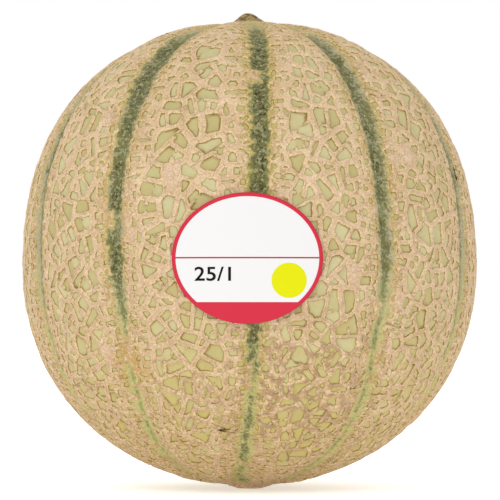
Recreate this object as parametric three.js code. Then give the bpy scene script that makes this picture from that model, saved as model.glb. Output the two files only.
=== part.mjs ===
import * as THREE from 'three';
import { ConvexHull } from 'three/addons/math/ConvexHull.js';

// A netted cantaloupe melon that stands on its blossom end, and the oval paper label on its front.
// Millimetres. +Z runs up the melon, the label faces -Y and z = 0 is the resting spot.
// Azimuth is measured round the melon from its front (-Y) towards +X, polar angle down from +Z.

// Body: two half superellipses turned about the axis, one above and one below the equator.
const EQUATOR_RADIUS = 70;
const EQUATOR_HEIGHT = 68.3;
const CROWN_RISE = 75.4;
const CROWN_POWER = 2.25;
const BASE_DROP = 67.9;
const BASE_POWER = 2.07;

// Lobes, and the sutures between them. They fade out towards both ends.
const LOBE_COUNT = 10;
const LOBE_ANGLE = (2 * Math.PI) / LOBE_COUNT;
const FIRST_SUTURE = THREE.MathUtils.degToRad(1);
const LOBE_FALL = 0.6;
const SUTURE_DEPTH = 0.9;
const SUTURE_HALF_WIDTH = 3.4;
const LOBE_FADE_RADII = [7, 26];

// How far each suture is turned from its even place, in degrees towards +X seen from the front,
// at rises from the base to the crown. The front suture comes first. It fades out at the ends.
const SWAY_RISES = [-0.9, -0.6, -0.3, 0, 0.35, 0.65, 0.95];
const SUTURE_SWAYS = [
  [-0.4, 0.6, 0.3, 0.6, 1.7, 2.3, 3.7],
  [3.5, 0, -2.8, -2.1, -2.4, -1.3, 3.9],
  [1, -1.5, -4, -4.3, -3, -1.5, 2.4],
  [0, -1, -2.4, -2.5, -2, -1, 1],
  [0, -0.4, -1, -1.2, -1, -0.5, 0.5],
  [0, -0.5, -0.3, 0.4, 0.6, 0.4, -0.5],
  [0, 0.3, 0.6, 1, 1, 0.6, -1],
  [0, 1.4, 2.4, 2.6, 2, 1.2, -1.5],
  [0, 3.1, 4.7, 4.5, 2.2, 1.8, -2.4],
  [-3.8, 0.6, 2.6, 1, -0.3, -1.2, -10.7],
];
const SWAY_FADE_RADII = [8, 22];

// Where the lobes run together at each end: how far off the axis, along x and y.
const CROWN_OFFSET = [0, 6];
const BASE_OFFSET = [-3.5, 4];
const BASE_OFFSET_FADE_RADII = [7, 22];

// Corky net of flat-topped strands round sunken cells of bare skin, both larger than life.
const NET_HEIGHT = 1.5;
const STRAND_LEAST_HEIGHT = 0.78;
const STRAND_HALF_WIDTHS = [0.85, 1.4];
const STRAND_FLANK = 0.45;
const SHORTEST_STRAND = 1.4;
const LEAST_CELL_SHARE = 0.42;
const LOBE_CELL_COUNT = 396;
const CELL_TRIES = 14;
const RANDOM_SEED = 35;

// Cells without strands that fill each suture from end to end.
const SUTURE_CELL_PITCH = 8;
const SUTURE_CELL_STRAY = 1;
const SUTURE_CELL_SHARE = 0.86;
const SUTURE_CLEARANCE = 6.6;
const SUTURE_NARROWING = 0.0028;
const MID_LOBE_SHARE = 0.38;
const SUTURE_END_ARC = 27;
const SUTURE_END_RADIUS = 21;

// Rings of cells round both ends of the axis.
const RING_CELLS = 11;
const RING_ARC = 12;
const RING_STRAY = 0.9;
const RING_TURN_STRAY = 0.2;

// Stem stub: rings up the dry, bell-shaped stub, as [radius, height over the crown].
const STUB_RINGS = [
  [6.4, 0.15],
  [4.9, 0.6],
  [3.7, 1.3],
  [2.6, 2.2],
  [1.4, 3.1],
];
const STUB_HEIGHT = 3.4;

// Blossom scar: a flat corky pad that the melon rests on.
const SCAR_RADIUS = 5.2;
const SCAR_FLANK_RADIUS = 7.8;
const SCAR_FLANK_HEIGHT = 0.6;
const SCAR_NET_FADE_RADII = [6, 24];
const SCAR_SINK = 0.45;

// Label: an ellipse seen from the front, wrapped over the net.
const LABEL_HALF_WIDTH = 21.8;
const LABEL_HALF_HEIGHT = 18.9;
const LABEL_CENTRE_X = -0.6;
const LABEL_CENTRE_Z = 69.8;
const LABEL_THICKNESS = 0.5;
const LABEL_GAP = 0.3;
const LABEL_SEGMENTS = 40;
const LABEL_RINGS = 4;
const LABEL_FIT_STEPS = 8;

const UP = new THREE.Vector3(0, 0, 1);
const { degToRad, seededRandom, smoothstep, lerp } = THREE.MathUtils;

// Random number between two limits, the same in every run.
function randomBetween(low, high) {
  return lerp(low, high, seededRandom());
}

function directionAt(polar, azimuth) {
  return new THREE.Vector3(
    Math.sin(polar) * Math.sin(azimuth),
    -Math.sin(polar) * Math.cos(azimuth),
    Math.cos(polar),
  );
}

// Distance from the melon's centre to the smooth envelope that the highest strands reach.
function envelopeDistance(direction) {
  const isUpper = direction.z > 0;
  const rise = isUpper ? CROWN_RISE : BASE_DROP;
  const power = isUpper ? CROWN_POWER : BASE_POWER;
  const upright = (Math.abs(direction.z) / rise) ** power;
  const sideways = (Math.hypot(direction.x, direction.y) / EQUATOR_RADIUS) ** power;
  return (upright + sideways) ** (-1 / power);
}

// Distance from the melon's axis to the envelope.
function axisDistance(direction) {
  return Math.hypot(direction.x, direction.y) * envelopeDistance(direction);
}

// Lobes counted round the axis from the front suture, a whole number on each suture.
function lobeTurns(direction) {
  const azimuth = Math.atan2(direction.x, -direction.y);
  return (azimuth - FIRST_SUTURE) / LOBE_ANGLE;
}

// Angle round the axis from the nearest suture, as a share of a lobe: 0 on it, 0.5 in mid lobe.
function lobeShare(direction) {
  const turns = lobeTurns(direction);
  return Math.abs(turns - Math.round(turns));
}

function sutureGap(direction) {
  return lobeShare(direction) * LOBE_ANGLE * axisDistance(direction);
}

// How far the lobes' rounding and the suture channels drop below the envelope.
function lobeDrop(direction) {
  const fade = smoothstep(axisDistance(direction), ...LOBE_FADE_RADII);
  const rounding = LOBE_FALL * Math.cos(Math.PI * lobeShare(direction)) ** 2;
  const channel = SUTURE_DEPTH * Math.exp(-((sutureGap(direction) / SUTURE_HALF_WIDTH) ** 2));
  return fade * (rounding + channel);
}

// Share of its full height that the net has at a place: it fades away towards the scar.
function netShare(direction) {
  return direction.z > 0 ? 1 : smoothstep(axisDistance(direction), ...SCAR_NET_FADE_RADII);
}

// Angle that one suture is turned from its even place at a rise.
function sutureSway(suture, rise) {
  const sways = SUTURE_SWAYS[(suture + LOBE_COUNT) % LOBE_COUNT];
  const above = SWAY_RISES.findIndex((place) => place > rise);
  if (above <= 0) {
    return degToRad(above === 0 ? sways[0] : sways.at(-1));
  }
  const [low, high] = SWAY_RISES.slice(above - 1, above + 1);
  return degToRad(lerp(sways[above - 1], sways[above], (rise - low) / (high - low)));
}

// Turns a direction as the sutures on both sides of it sway.
function swayed(direction) {
  const turns = lobeTurns(direction);
  const suture = Math.floor(turns);
  const [before, after] = [suture, suture + 1].map((number) => sutureSway(number, direction.z));
  const fade = smoothstep(axisDistance(direction), ...SWAY_FADE_RADII);
  return direction.clone().applyAxisAngle(UP, fade * lerp(before, after, turns - suture));
}

// Carries a direction over from even lobes to swaying ones whose ends lie off the axis.
function leaned(direction) {
  const isUpper = direction.z > 0;
  const [offsetX, offsetY] = isUpper ? CROWN_OFFSET : BASE_OFFSET;
  const fade = isUpper ? 1 : smoothstep(axisDistance(direction), ...BASE_OFFSET_FADE_RADII);
  const share = (fade * direction.z ** 2) / EQUATOR_RADIUS;
  const offset = new THREE.Vector3(offsetX * share, offsetY * share, 0);
  return offset.add(swayed(direction)).normalize();
}

// Point of the rind: the skin under the net at height 0, the top of the net at height 1. The
// skin and the net's top run together at the scar, a little under the envelope.
function rindPoint(direction, height) {
  const sunken = lerp(SCAR_SINK, NET_HEIGHT * (1 - height), netShare(direction));
  const point = leaned(direction);
  point.multiplyScalar(envelopeDistance(point) - lobeDrop(direction) - sunken);
  point.z += EQUATOR_HEIGHT;
  return point;
}

// Cells at both ends of the axis, for the stub and the scar, and a ring of net cells round each.
function endCells() {
  const ringPolar = RING_ARC / CROWN_RISE;
  const cells = [];
  for (const [kind, endPolar, ringSide] of [['stub', 0, 1], ['scar', Math.PI, -1]]) {
    cells.push({ kind, centre: directionAt(endPolar, 0) });
    for (let index = 0; index < RING_CELLS; index += 1) {
      const turn = (index + randomBetween(-RING_TURN_STRAY, RING_TURN_STRAY)) / RING_CELLS;
      const stray = randomBetween(-RING_STRAY, RING_STRAY) / CROWN_RISE;
      const polar = endPolar + ringSide * (ringPolar + stray);
      cells.push({ kind: 'net', centre: directionAt(polar, 2 * Math.PI * turn) });
    }
  }
  return cells;
}

// A row of cells down the middle of each suture.
function sutureCells() {
  const firstPolar = SUTURE_END_ARC / CROWN_RISE;
  const polarPitch = SUTURE_CELL_PITCH / EQUATOR_RADIUS;
  const polarStray = SUTURE_CELL_STRAY / EQUATOR_RADIUS;
  const pitchCount = Math.floor((Math.PI - 2 * firstPolar) / polarPitch);
  const cells = [];
  for (let suture = 0; suture < LOBE_COUNT; suture += 1) {
    for (let index = 0; index <= pitchCount; index += 1) {
      const evenPolar = lerp(firstPolar, Math.PI - firstPolar, index / pitchCount);
      const polar = evenPolar + randomBetween(-polarStray, polarStray);
      const centre = directionAt(polar, FIRST_SUTURE + suture * LOBE_ANGLE);
      cells.push({ kind: 'suture', centre });
    }
  }
  return cells;
}

function isClearOfSutures(centre) {
  const isBeyondTheirEnds = axisDistance(centre) < SUTURE_END_RADIUS;
  const isInMidLobe = lobeShare(centre) > MID_LOBE_SHARE;
  return isBeyondTheirEnds || isInMidLobe || sutureGap(centre) > SUTURE_CLEARANCE;
}

// Centre for one more cell on a lobe: the random try that is furthest from the other cells.
function nextLobeCentre(cells) {
  let best = null;
  let bestGap = 0;
  for (let attempt = 0; attempt < CELL_TRIES; attempt += 1) {
    const polar = Math.acos(randomBetween(-1, 1));
    const centre = directionAt(polar, randomBetween(0, 2 * Math.PI));
    const gap = Math.min(...cells.map((cell) => cell.centre.distanceTo(centre)));
    if (isClearOfSutures(centre) && gap > bestGap) {
      best = centre;
      bestGap = gap;
    }
  }
  return best;
}

// Adds the cells of the lobes, which carry the net, to those of the ends and the sutures.
function addLobeCells(cells) {
  const wanted = cells.length + LOBE_CELL_COUNT;
  while (cells.length < wanted) {
    const centre = nextLobeCentre(cells);
    if (centre) {
      cells.push({ kind: 'net', centre });
    }
  }
}

// Finds the corners where three cells meet: the outward normals of the hull over their centres.
// Drawing a centre in towards the middle of the hull makes its cell narrower, as in a suture.
// Gives each cell its corners' numbers. Returns the corners, and the two ends of each strand.
function findCorners(cells) {
  const hullPoints = cells.map(({ kind, centre }) => {
    return centre.clone().multiplyScalar(kind === 'suture' ? 1 - SUTURE_NARROWING : 1);
  });
  const hull = new ConvexHull().setFromPoints(hullPoints);
  const cellOf = new Map(hullPoints.map((point, index) => [point, cells[index]]));
  const numberOf = new Map(hull.faces.map((face, index) => [face, index]));
  const strands = [];
  cells.forEach((cell) => {
    cell.loop = [];
  });
  for (const [face, number] of numberOf) {
    for (let edge = face.edge, side = 0; side < 3; edge = edge.next, side += 1) {
      cellOf.get(edge.head().point).loop.push(number);
      strands.push([number, numberOf.get(edge.twin.face)]);
    }
  }
  return { corners: hull.faces.map((face) => face.normal), strands };
}

// Joins corners that a strand too short to model would part. Returns what each corner becomes.
function mergedCorners(corners, strands) {
  const target = corners.map((corner, index) => index);
  const settle = (number) => (target[number] === number ? number : settle(target[number]));
  for (const [first, second] of strands) {
    if (corners[first].distanceTo(corners[second]) * EQUATOR_RADIUS < SHORTEST_STRAND) {
      target[settle(second)] = settle(first);
    }
  }
  return target.map(settle);
}

// Gives the angle of a direction about an axis, anticlockwise as seen from outside.
function turnsAbout(axis) {
  const helper = new THREE.Vector3(1, 0, 0);
  if (Math.abs(axis.x) > Math.SQRT1_2) {
    helper.set(0, 1, 0);
  }
  const east = helper.cross(axis).normalize();
  const north = axis.clone().cross(east);
  return (direction) => Math.atan2(direction.dot(north), direction.dot(east));
}

// Surface made of triangles over numbered points.
class Surface {
  constructor() {
    this.positions = [];
    this.triangles = [];
  }

  addPoint(point) {
    this.positions.push(point.x, point.y, point.z);
    return this.positions.length / 3 - 1;
  }

  // Band of triangles between two loops that have the same number of points.
  addBand(outer, inner) {
    outer.forEach((start, index) => {
      const next = (index + 1) % outer.length;
      this.triangles.push(start, outer[next], inner[next]);
      this.triangles.push(start, inner[next], inner[index]);
    });
  }

  // Fan of triangles that closes a loop without another point.
  addFloor(loop) {
    for (let index = 1; index < loop.length - 1; index += 1) {
      this.triangles.push(loop[0], loop[index], loop[index + 1]);
    }
  }

  // Fan of triangles from a loop to a middle point.
  addCap(loop, middle) {
    const tip = this.addPoint(middle);
    loop.forEach((start, index) => {
      this.triangles.push(start, loop[(index + 1) % loop.length], tip);
    });
  }

  toGeometry() {
    const geometry = new THREE.BufferGeometry();
    geometry.setAttribute('position', new THREE.Float32BufferAttribute(this.positions, 3));
    geometry.setIndex(this.triangles);
    geometry.computeVertexNormals();
    return geometry;
  }
}

// How far a cell reaches from its centre to its nearest side.
function cellReach({ centre, loop }, corners) {
  const gaps = loop.map((number, index) => {
    const next = loop[(index + 1) % loop.length];
    return corners[number].clone().lerp(corners[next], 0.5).distanceTo(centre);
  });
  return Math.min(...gaps) * EQUATOR_RADIUS;
}

// A copy of a cell's outline, drawn in towards its centre.
function addInset(surface, cell, corners, share, heightOf) {
  return cell.loop.map((number) => {
    const direction = cell.centre.clone().lerp(corners[number], share).normalize();
    return surface.addPoint(rindPoint(direction, heightOf(number)));
  });
}

// One sunken cell of the net: a rim at the strands' top, a short flank and a floor of bare skin.
function addNetCell(surface, cell, corners, strandHeights) {
  const reach = cellReach(cell, corners);
  const rimShare = Math.max(1 - randomBetween(...STRAND_HALF_WIDTHS) / reach, LEAST_CELL_SHARE);
  const footShare = rimShare - STRAND_FLANK / reach;
  cell.rim = addInset(surface, cell, corners, rimShare, (number) => strandHeights[number]);
  const foot = addInset(surface, cell, corners, footShare, () => 0);
  surface.addBand(cell.rim, foot);
  surface.addFloor(foot);
}

// One stretch of a suture: level with the bare skin from side to side.
function addSutureCell(surface, cell, corners) {
  cell.rim = addInset(surface, cell, corners, SUTURE_CELL_SHARE, () => 0);
  surface.addFloor(cell.rim);
}

// Joins the cells' rims with the flat tops of the strands, and closes the corners between them.
function addStrands(surface, cells, corners) {
  const sides = new Map();
  const junctions = new Map();
  for (const cell of cells) {
    cell.loop.forEach((number, index) => {
      const next = (index + 1) % cell.loop.length;
      sides.set(`${number} ${cell.loop[next]}`, [cell.rim[index], cell.rim[next]]);
      const meeting = junctions.get(number) ?? [];
      junctions.set(number, [...meeting, { point: cell.rim[index], centre: cell.centre }]);
    });
  }
  for (const [name, [start, end]] of sides) {
    const [first, second] = name.split(' ').map(Number);
    if (first < second) {
      const [farEnd, farStart] = sides.get(`${second} ${first}`);
      surface.triangles.push(farStart, farEnd, end, farStart, end, start);
    }
  }
  for (const [number, meeting] of junctions) {
    const turn = turnsAbout(corners[number]);
    meeting.sort((first, second) => turn(first.centre) - turn(second.centre));
    surface.addFloor(meeting.map((member) => member.point));
  }
}

// Level ring of points round a middle, in line with the corners of an end cell.
function addRing(surface, cell, corners, radius, middle) {
  return cell.loop.map((number) => {
    const { x, y } = corners[number];
    const spoke = new THREE.Vector3(x, y, 0).setLength(radius);
    return surface.addPoint(spoke.add(middle));
  });
}

// The dry stem stub, which swells out of the crown where the lobes run together.
function addStemStub(surface, cell, corners) {
  const middleAt = (rise) => rindPoint(cell.centre, 1).setZ(EQUATOR_HEIGHT + CROWN_RISE + rise);
  const rings = STUB_RINGS.map(([radius, rise]) => {
    return addRing(surface, cell, corners, radius, middleAt(rise));
  });
  for (let index = 1; index < rings.length; index += 1) {
    surface.addBand(rings[index - 1], rings[index]);
  }
  surface.addCap(rings.at(-1), middleAt(STUB_HEIGHT));
  cell.rim = rings[0];
}

// The blossom scar, a pad whose flat face is the lowest part of the melon.
function addBlossomScar(surface, cell, corners) {
  const restingSpot = new THREE.Vector3(0, 0, 0);
  const flankMiddle = new THREE.Vector3(0, 0, SCAR_FLANK_HEIGHT);
  cell.rim = addRing(surface, cell, corners, SCAR_FLANK_RADIUS, flankMiddle);
  const pad = addRing(surface, cell, corners, SCAR_RADIUS, restingSpot);
  surface.addBand(cell.rim, pad);
  surface.addCap(pad, restingSpot);
}

// The cells of the whole melon, each with its outline of corners, anticlockwise.
function melonCells() {
  const cells = [...endCells(), ...sutureCells()];
  addLobeCells(cells);
  const { corners, strands } = findCorners(cells);
  const target = mergedCorners(corners, strands);
  for (const cell of cells) {
    const turn = turnsAbout(cell.centre);
    cell.loop = [...new Set(cell.loop.map((number) => target[number]))];
    cell.loop.sort((first, second) => turn(corners[first]) - turn(corners[second]));
  }
  return { cells, corners };
}

function melonGeometry() {
  const { cells, corners } = melonCells();
  const strandHeights = corners.map(() => randomBetween(STRAND_LEAST_HEIGHT, 1));
  const surface = new Surface();
  const builders = {
    stub: addStemStub,
    scar: addBlossomScar,
    suture: addSutureCell,
    net: addNetCell,
  };
  for (const cell of cells) {
    builders[cell.kind](surface, cell, corners, strandHeights);
  }
  addStrands(surface, cells, corners);
  return surface.toGeometry();
}

// Point of the label over a place given as seen from the front, at a height over the envelope.
function labelPoint(x, z, height) {
  const rise = z - EQUATOR_HEIGHT;
  const point = new THREE.Vector3(x, -EQUATOR_RADIUS, rise);
  for (let step = 0; step < LABEL_FIT_STEPS; step += 1) {
    const distance = envelopeDistance(point.clone().normalize()) + height;
    point.y = -Math.sqrt(distance ** 2 - x ** 2 - rise ** 2);
  }
  point.z = z;
  return point;
}

// One face of the label: the rim's points and those of each smaller ring inside it.
function addLabelFace(surface, height) {
  const rings = [];
  for (let ring = LABEL_RINGS; ring > 0; ring -= 1) {
    const share = ring / LABEL_RINGS;
    const points = [];
    for (let segment = 0; segment < LABEL_SEGMENTS; segment += 1) {
      const angle = (2 * Math.PI * segment) / LABEL_SEGMENTS;
      const x = LABEL_CENTRE_X + share * LABEL_HALF_WIDTH * Math.cos(angle);
      const z = LABEL_CENTRE_Z + share * LABEL_HALF_HEIGHT * Math.sin(angle);
      points.push(surface.addPoint(labelPoint(x, z, height)));
    }
    rings.push(points);
  }
  return rings;
}

function labelGeometry() {
  const surface = new Surface();
  const middle = (height) => labelPoint(LABEL_CENTRE_X, LABEL_CENTRE_Z, height);
  const outerHeight = LABEL_GAP + LABEL_THICKNESS;
  const outer = addLabelFace(surface, outerHeight);
  const inner = addLabelFace(surface, LABEL_GAP).map((ring) => ring.reverse());
  for (const rings of [outer, inner]) {
    for (let ring = 1; ring < rings.length; ring += 1) {
      surface.addBand(rings[ring - 1], rings[ring]);
    }
  }
  surface.addCap(outer.at(-1), middle(outerHeight));
  surface.addCap(inner.at(-1), middle(LABEL_GAP));
  surface.addBand([...inner[0]].reverse(), outer[0]);
  return surface.toGeometry();
}

function makeMelon() {
  const rind = new THREE.MeshStandardMaterial({ color: '#c8ae7c', roughness: 0.8, metalness: 0 });
  const mesh = new THREE.Mesh(melonGeometry(), rind);
  mesh.name = 'melon';
  return mesh;
}

function makeLabel() {
  const paper = new THREE.MeshStandardMaterial({ color: '#f7f5f3', roughness: 0.5, metalness: 0 });
  const mesh = new THREE.Mesh(labelGeometry(), paper);
  mesh.name = 'paper_label';
  return mesh;
}

seededRandom(RANDOM_SEED);
const cantaloupe = new THREE.Group();
cantaloupe.add(makeMelon(), makeLabel());

export default cantaloupe;
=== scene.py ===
"""Looks of a netted cantaloupe melon and of the oval paper label on its front.

The rind is one mesh. Seeds are scattered over the sphere of directions round the melon's centre,
and the hull over them gives every seed its cell: a sunken island of bare skin between
flat-topped strands of cork, a stretch of a suture, or one of the melon's two ends. A direction
and a depth under the melon's smooth form give a point of the rind.

Lengths are millimetres until a mesh is made of them, and metres in Blender. +Z runs up through
the melon, the label faces -Y, and z = 0 is the spot that the melon rests on.
"""
import logging
import math
from dataclasses import dataclass, field
from enum import Enum

import bmesh
import bpy
import numpy as np
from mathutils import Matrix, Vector


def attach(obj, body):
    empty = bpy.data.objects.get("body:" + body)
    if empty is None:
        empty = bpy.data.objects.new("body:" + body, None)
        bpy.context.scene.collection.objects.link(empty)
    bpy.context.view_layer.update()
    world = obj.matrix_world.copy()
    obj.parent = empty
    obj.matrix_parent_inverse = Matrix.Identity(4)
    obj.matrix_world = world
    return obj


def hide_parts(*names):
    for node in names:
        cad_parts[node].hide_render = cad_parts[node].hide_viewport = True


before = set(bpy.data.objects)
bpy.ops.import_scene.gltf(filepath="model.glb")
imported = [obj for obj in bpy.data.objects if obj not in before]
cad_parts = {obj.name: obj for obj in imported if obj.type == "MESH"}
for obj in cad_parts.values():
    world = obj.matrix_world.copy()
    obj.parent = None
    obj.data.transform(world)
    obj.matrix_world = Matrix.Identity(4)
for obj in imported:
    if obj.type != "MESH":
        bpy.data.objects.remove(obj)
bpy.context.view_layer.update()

METRES_PER_MM = 0.001
BODY = "root"
LOG = logging.getLogger("melon")
Pair = tuple[float, float]

# Rings from the outside in: radius, height, and share of the stub, which its colour follows.
# The stub's heights are over the crown and the scar's over the spot that the melon rests on.
STUB_PROFILE = (
    (6.0, 0.12, 0.1),
    (5.4, 0.3, 0.22),
    (4.7, 0.62, 0.38),
    (4.0, 1.08, 0.52),
    (3.3, 1.62, 0.68),
    (2.7, 2.14, 0.8),
    (2.1, 2.62, 0.9),
    (1.5, 2.98, 0.96),
    (0.8, 3.22, 1.0),
    (0.0, 3.24, 1.0),
)
SCAR_PROFILE = (
    (6.6, 0.84, 0.0),
    (5.4, 0.5, 0.0),
    (4.5, 0.2, 0.0),
    (3.6, 0.0, 0.0),
    (1.8, 0.0, 0.0),
    (0.0, 0.0, 0.0),
)
# How far each suture is turned from its even place, in degrees anticlockwise seen from above,
# at rises from the base to the crown. The front suture comes first, and then those towards +X.
SWAY_RISES = (-0.9, -0.6, -0.3, 0.0, 0.35, 0.65, 0.95)
SUTURE_SWAYS = (
    (-0.4, 0.6, 0.3, 0.6, 1.7, 2.3, 3.7),
    (3.5, 0.0, -2.6, -1.3, -2.2, -2.6, -3.6),
    (1.0, -1.5, -4.0, -4.3, -3.0, -1.5, 2.4),
    (0.0, -1.0, -2.4, -2.5, -2.0, -1.0, 1.0),
    (0.0, -0.4, -1.0, -1.2, -1.0, -0.5, 0.5),
    (0.0, -0.5, -0.3, 0.4, 0.6, 0.4, -0.5),
    (0.0, 0.3, 0.6, 1.0, 1.0, 0.6, -1.0),
    (0.0, 1.4, 2.4, 2.6, 2.0, 1.2, -1.5),
    (0.0, 3.1, 4.7, 4.5, 2.2, 1.8, -2.4),
    (-3.8, 0.6, 2.2, 0.3, -0.9, -0.9, -0.7),
)
# Rows of seeds along a suture, in half widths from its middle. The outer rows are net cells.
SUTURE_ROWS = (-1.5, -0.5, 0.5, 1.5)
# Rise of a direction from which on level is taken from +Y, since +Z lies too close to it.
STEEPEST_RISE = 0.9999
# Levels that nearly all of a noise lies between.
NOISE_SPAN = (0.2, 0.8)
# Setting of a node that eases a value between two levels.
EASED = {"interpolation_type": "SMOOTHSTEP"}


class Slot(Enum):
    """Names of two material slots, one for the rind and one for the label paper."""

    RIND = "rind"
    LABEL = "label_paper"


class CellKind(Enum):
    """What a cell of the rind's pattern holds."""

    NET = "island of skin between strands"
    SUTURE = "stretch of a suture"
    OVERGROWN = "cork grown across a suture"
    STUB = "stem stub"
    SCAR = "blossom scar"


def smoothstep(values: np.ndarray, low: float, high: float) -> np.ndarray:
    """Eases values from 0 at low to 1 at high.

    Args:
        values: Numbers to ease.
        low: Value that becomes 0.
        high: Value that becomes 1.

    Returns:
        The eased numbers.
    """
    share = np.clip((values - low) / (high - low), 0.0, 1.0)
    return share * share * (3.0 - 2.0 * share)


def directions_at(polar: np.ndarray, azimuth: np.ndarray) -> np.ndarray:
    """Unit directions from angles.

    Args:
        polar: Angles down from +Z, in radians.
        azimuth: Angles round from the front (-Y) towards +X, in radians.

    Returns:
        One direction a row.
    """
    polar, azimuth = np.broadcast_arrays(polar, azimuth)
    return np.stack(
        [np.sin(polar) * np.sin(azimuth), -np.sin(polar) * np.cos(azimuth), np.cos(polar)],
        axis=-1,
    )


@dataclass(frozen=True)
class MelonShape:
    """Smooth form of the melon. The CAD melon has it too, but for how two of the sutures sway."""

    equator_radius: float = 70.0
    equator_height: float = 68.3
    crown_rise: float = 75.4
    crown_power: float = 2.25
    base_drop: float = 67.9
    base_power: float = 2.07
    lobe_count: int = 10
    first_suture: float = math.radians(1.0)
    lobe_fall: float = 0.6
    channel_depth: float = 0.9
    channel_half_width: float = 3.4
    lobe_fade_radii: Pair = (7.0, 26.0)
    sway_fade_radii: Pair = (8.0, 22.0)
    crown_offset: Pair = (0.0, 6.0)
    base_offset: Pair = (-3.5, 4.0)
    base_offset_fade_radii: Pair = (7.0, 22.0)
    base_sink: float = 0.45
    base_sink_radii: Pair = (6.0, 24.0)
    depth_rounds: int = 8

    @property
    def lobe_angle(self) -> float:
        """Angle round the axis that one lobe takes."""
        return 2.0 * math.pi / self.lobe_count

    def envelope_distances(self, directions: np.ndarray) -> np.ndarray:
        """Distances from the melon's centre to the envelope that the highest strands reach.

        Args:
            directions: Unit directions, one a row.

        Returns:
            One distance a direction.
        """
        is_upper = directions[:, 2] > 0.0
        rise = np.where(is_upper, self.crown_rise, self.base_drop)
        power = np.where(is_upper, self.crown_power, self.base_power)
        upright = (np.abs(directions[:, 2]) / rise) ** power
        sideways = (np.hypot(directions[:, 0], directions[:, 1]) / self.equator_radius) ** power
        return (upright + sideways) ** (-1.0 / power)

    def axis_distances(self, directions: np.ndarray) -> np.ndarray:
        """Distances from the axis to the envelope, one a direction."""
        level = np.hypot(directions[:, 0], directions[:, 1])
        return level * self.envelope_distances(directions)

    def suture_turns(self, directions: np.ndarray) -> np.ndarray:
        """Lobes counted round the axis from the first suture, whole numbers on the sutures."""
        azimuths = np.arctan2(directions[:, 0], -directions[:, 1])
        return (azimuths - self.first_suture) / self.lobe_angle

    def suture_gaps(self, directions: np.ndarray) -> np.ndarray:
        """Signed distances along the rind from the nearest suture, one a direction."""
        turns = self.suture_turns(directions)
        return (turns - np.round(turns)) * self.lobe_angle * self.axis_distances(directions)

    def lobe_drops(self, directions: np.ndarray) -> np.ndarray:
        """How far the lobes' rounding and the suture channels drop below the envelope.

        Args:
            directions: Unit directions, one a row.

        Returns:
            One drop a direction.
        """
        turns = self.suture_turns(directions)
        fade = smoothstep(self.axis_distances(directions), *self.lobe_fade_radii)
        rounding = self.lobe_fall * np.cos(math.pi * (turns - np.round(turns))) ** 2
        gaps = self.suture_gaps(directions) / self.channel_half_width
        return fade * (rounding + self.channel_depth * np.exp(-gaps**2))

    def swayed(self, directions: np.ndarray) -> np.ndarray:
        """Turns directions as the sutures on both sides of them sway.

        Args:
            directions: Unit directions of the even pattern, one a row.

        Returns:
            The turned unit directions.
        """
        turns = self.suture_turns(directions)
        before = np.floor(turns).astype(int)
        rises = directions[:, 2]
        sways = np.array([np.interp(rises, SWAY_RISES, row) for row in SUTURE_SWAYS])
        places = np.arange(len(directions))
        start = sways[before % self.lobe_count, places]
        end = sways[(before + 1) % self.lobe_count, places]
        fade = smoothstep(self.axis_distances(directions), *self.sway_fade_radii)
        sway = np.radians(start + (end - start) * (turns - before)) * fade
        x, y, z = directions.T
        return np.stack(
            [x * np.cos(sway) - y * np.sin(sway), x * np.sin(sway) + y * np.cos(sway), z], axis=-1
        )

    def leaned(self, directions: np.ndarray) -> np.ndarray:
        """Carries directions over from even lobes to swaying ones whose ends lie off the axis.

        Args:
            directions: Unit directions of the even pattern, one a row.

        Returns:
            The unit directions in which their points lie.
        """
        is_upper = directions[:, 2] > 0.0
        offsets = np.where(is_upper[:, None], self.crown_offset, self.base_offset)
        base_fade = smoothstep(self.axis_distances(directions), *self.base_offset_fade_radii)
        share = np.where(is_upper, 1.0, base_fade) * directions[:, 2] ** 2
        carried = self.swayed(directions)
        carried[:, :2] += offsets * share[:, None] / self.equator_radius
        return carried / np.linalg.norm(carried, axis=1)[:, None]

    def points(self, directions: np.ndarray, depths: np.ndarray) -> np.ndarray:
        """Points of the rind.

        Args:
            directions: Unit directions of the even pattern, one a row.
            depths: How far each point lies below the top of the highest strands.

        Returns:
            One point a row.
        """
        radii = self.axis_distances(directions)
        sink = 1.0 - smoothstep(radii, *self.base_sink_radii)
        sink = np.where(directions[:, 2] > 0.0, 0.0, self.base_sink * sink)
        places = self.leaned(directions)
        distances = self.envelope_distances(places) - self.lobe_drops(directions) - sink - depths
        return places * distances[:, None] + (0.0, 0.0, self.equator_height)

    def front_depth(self, x: np.ndarray, z: np.ndarray, height: float) -> np.ndarray:
        """How far in front of the axis the envelope lies, over places seen from the front.

        Args:
            x: Places to the right of the axis.
            z: Places above the spot that the melon rests on.
            height: Height over the envelope.

        Returns:
            The y of one point a place.
        """
        rise = z - self.equator_height
        y = np.full_like(x, -self.equator_radius)
        for _ in range(self.depth_rounds):
            points = np.stack([x, y, rise], axis=-1)
            points /= np.linalg.norm(points, axis=1)[:, None]
            distances = self.envelope_distances(points) + height
            y = -np.sqrt(distances**2 - x**2 - rise**2)
        return y


@dataclass
class Cell:
    """One cell of the pattern.

    It has its middle's direction, its corners' numbers, anticlockwise, and how many times the
    skin cracked before it came to be.
    """

    kind: CellKind
    centre: np.ndarray
    loop: list[int] = field(default_factory=list)
    age: int = 0

    def sides(self) -> list[tuple[int, int]]:
        """Corners at the start and end of each side."""
        return list(zip(self.loop, self.loop[1:] + self.loop[:1]))


@dataclass(frozen=True)
class SideTrait:
    """What the strand on a side is like: how wide, from 0 to 1, and after how many cracks."""

    width_share: float
    age: int


def side_key(first: int, second: int) -> tuple[int, int]:
    """Name of the side between two corners, whichever way round they come."""
    return min(first, second), max(first, second)


def unit(vector: np.ndarray) -> np.ndarray:
    """Direction of a vector."""
    return vector / np.linalg.norm(vector)


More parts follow.
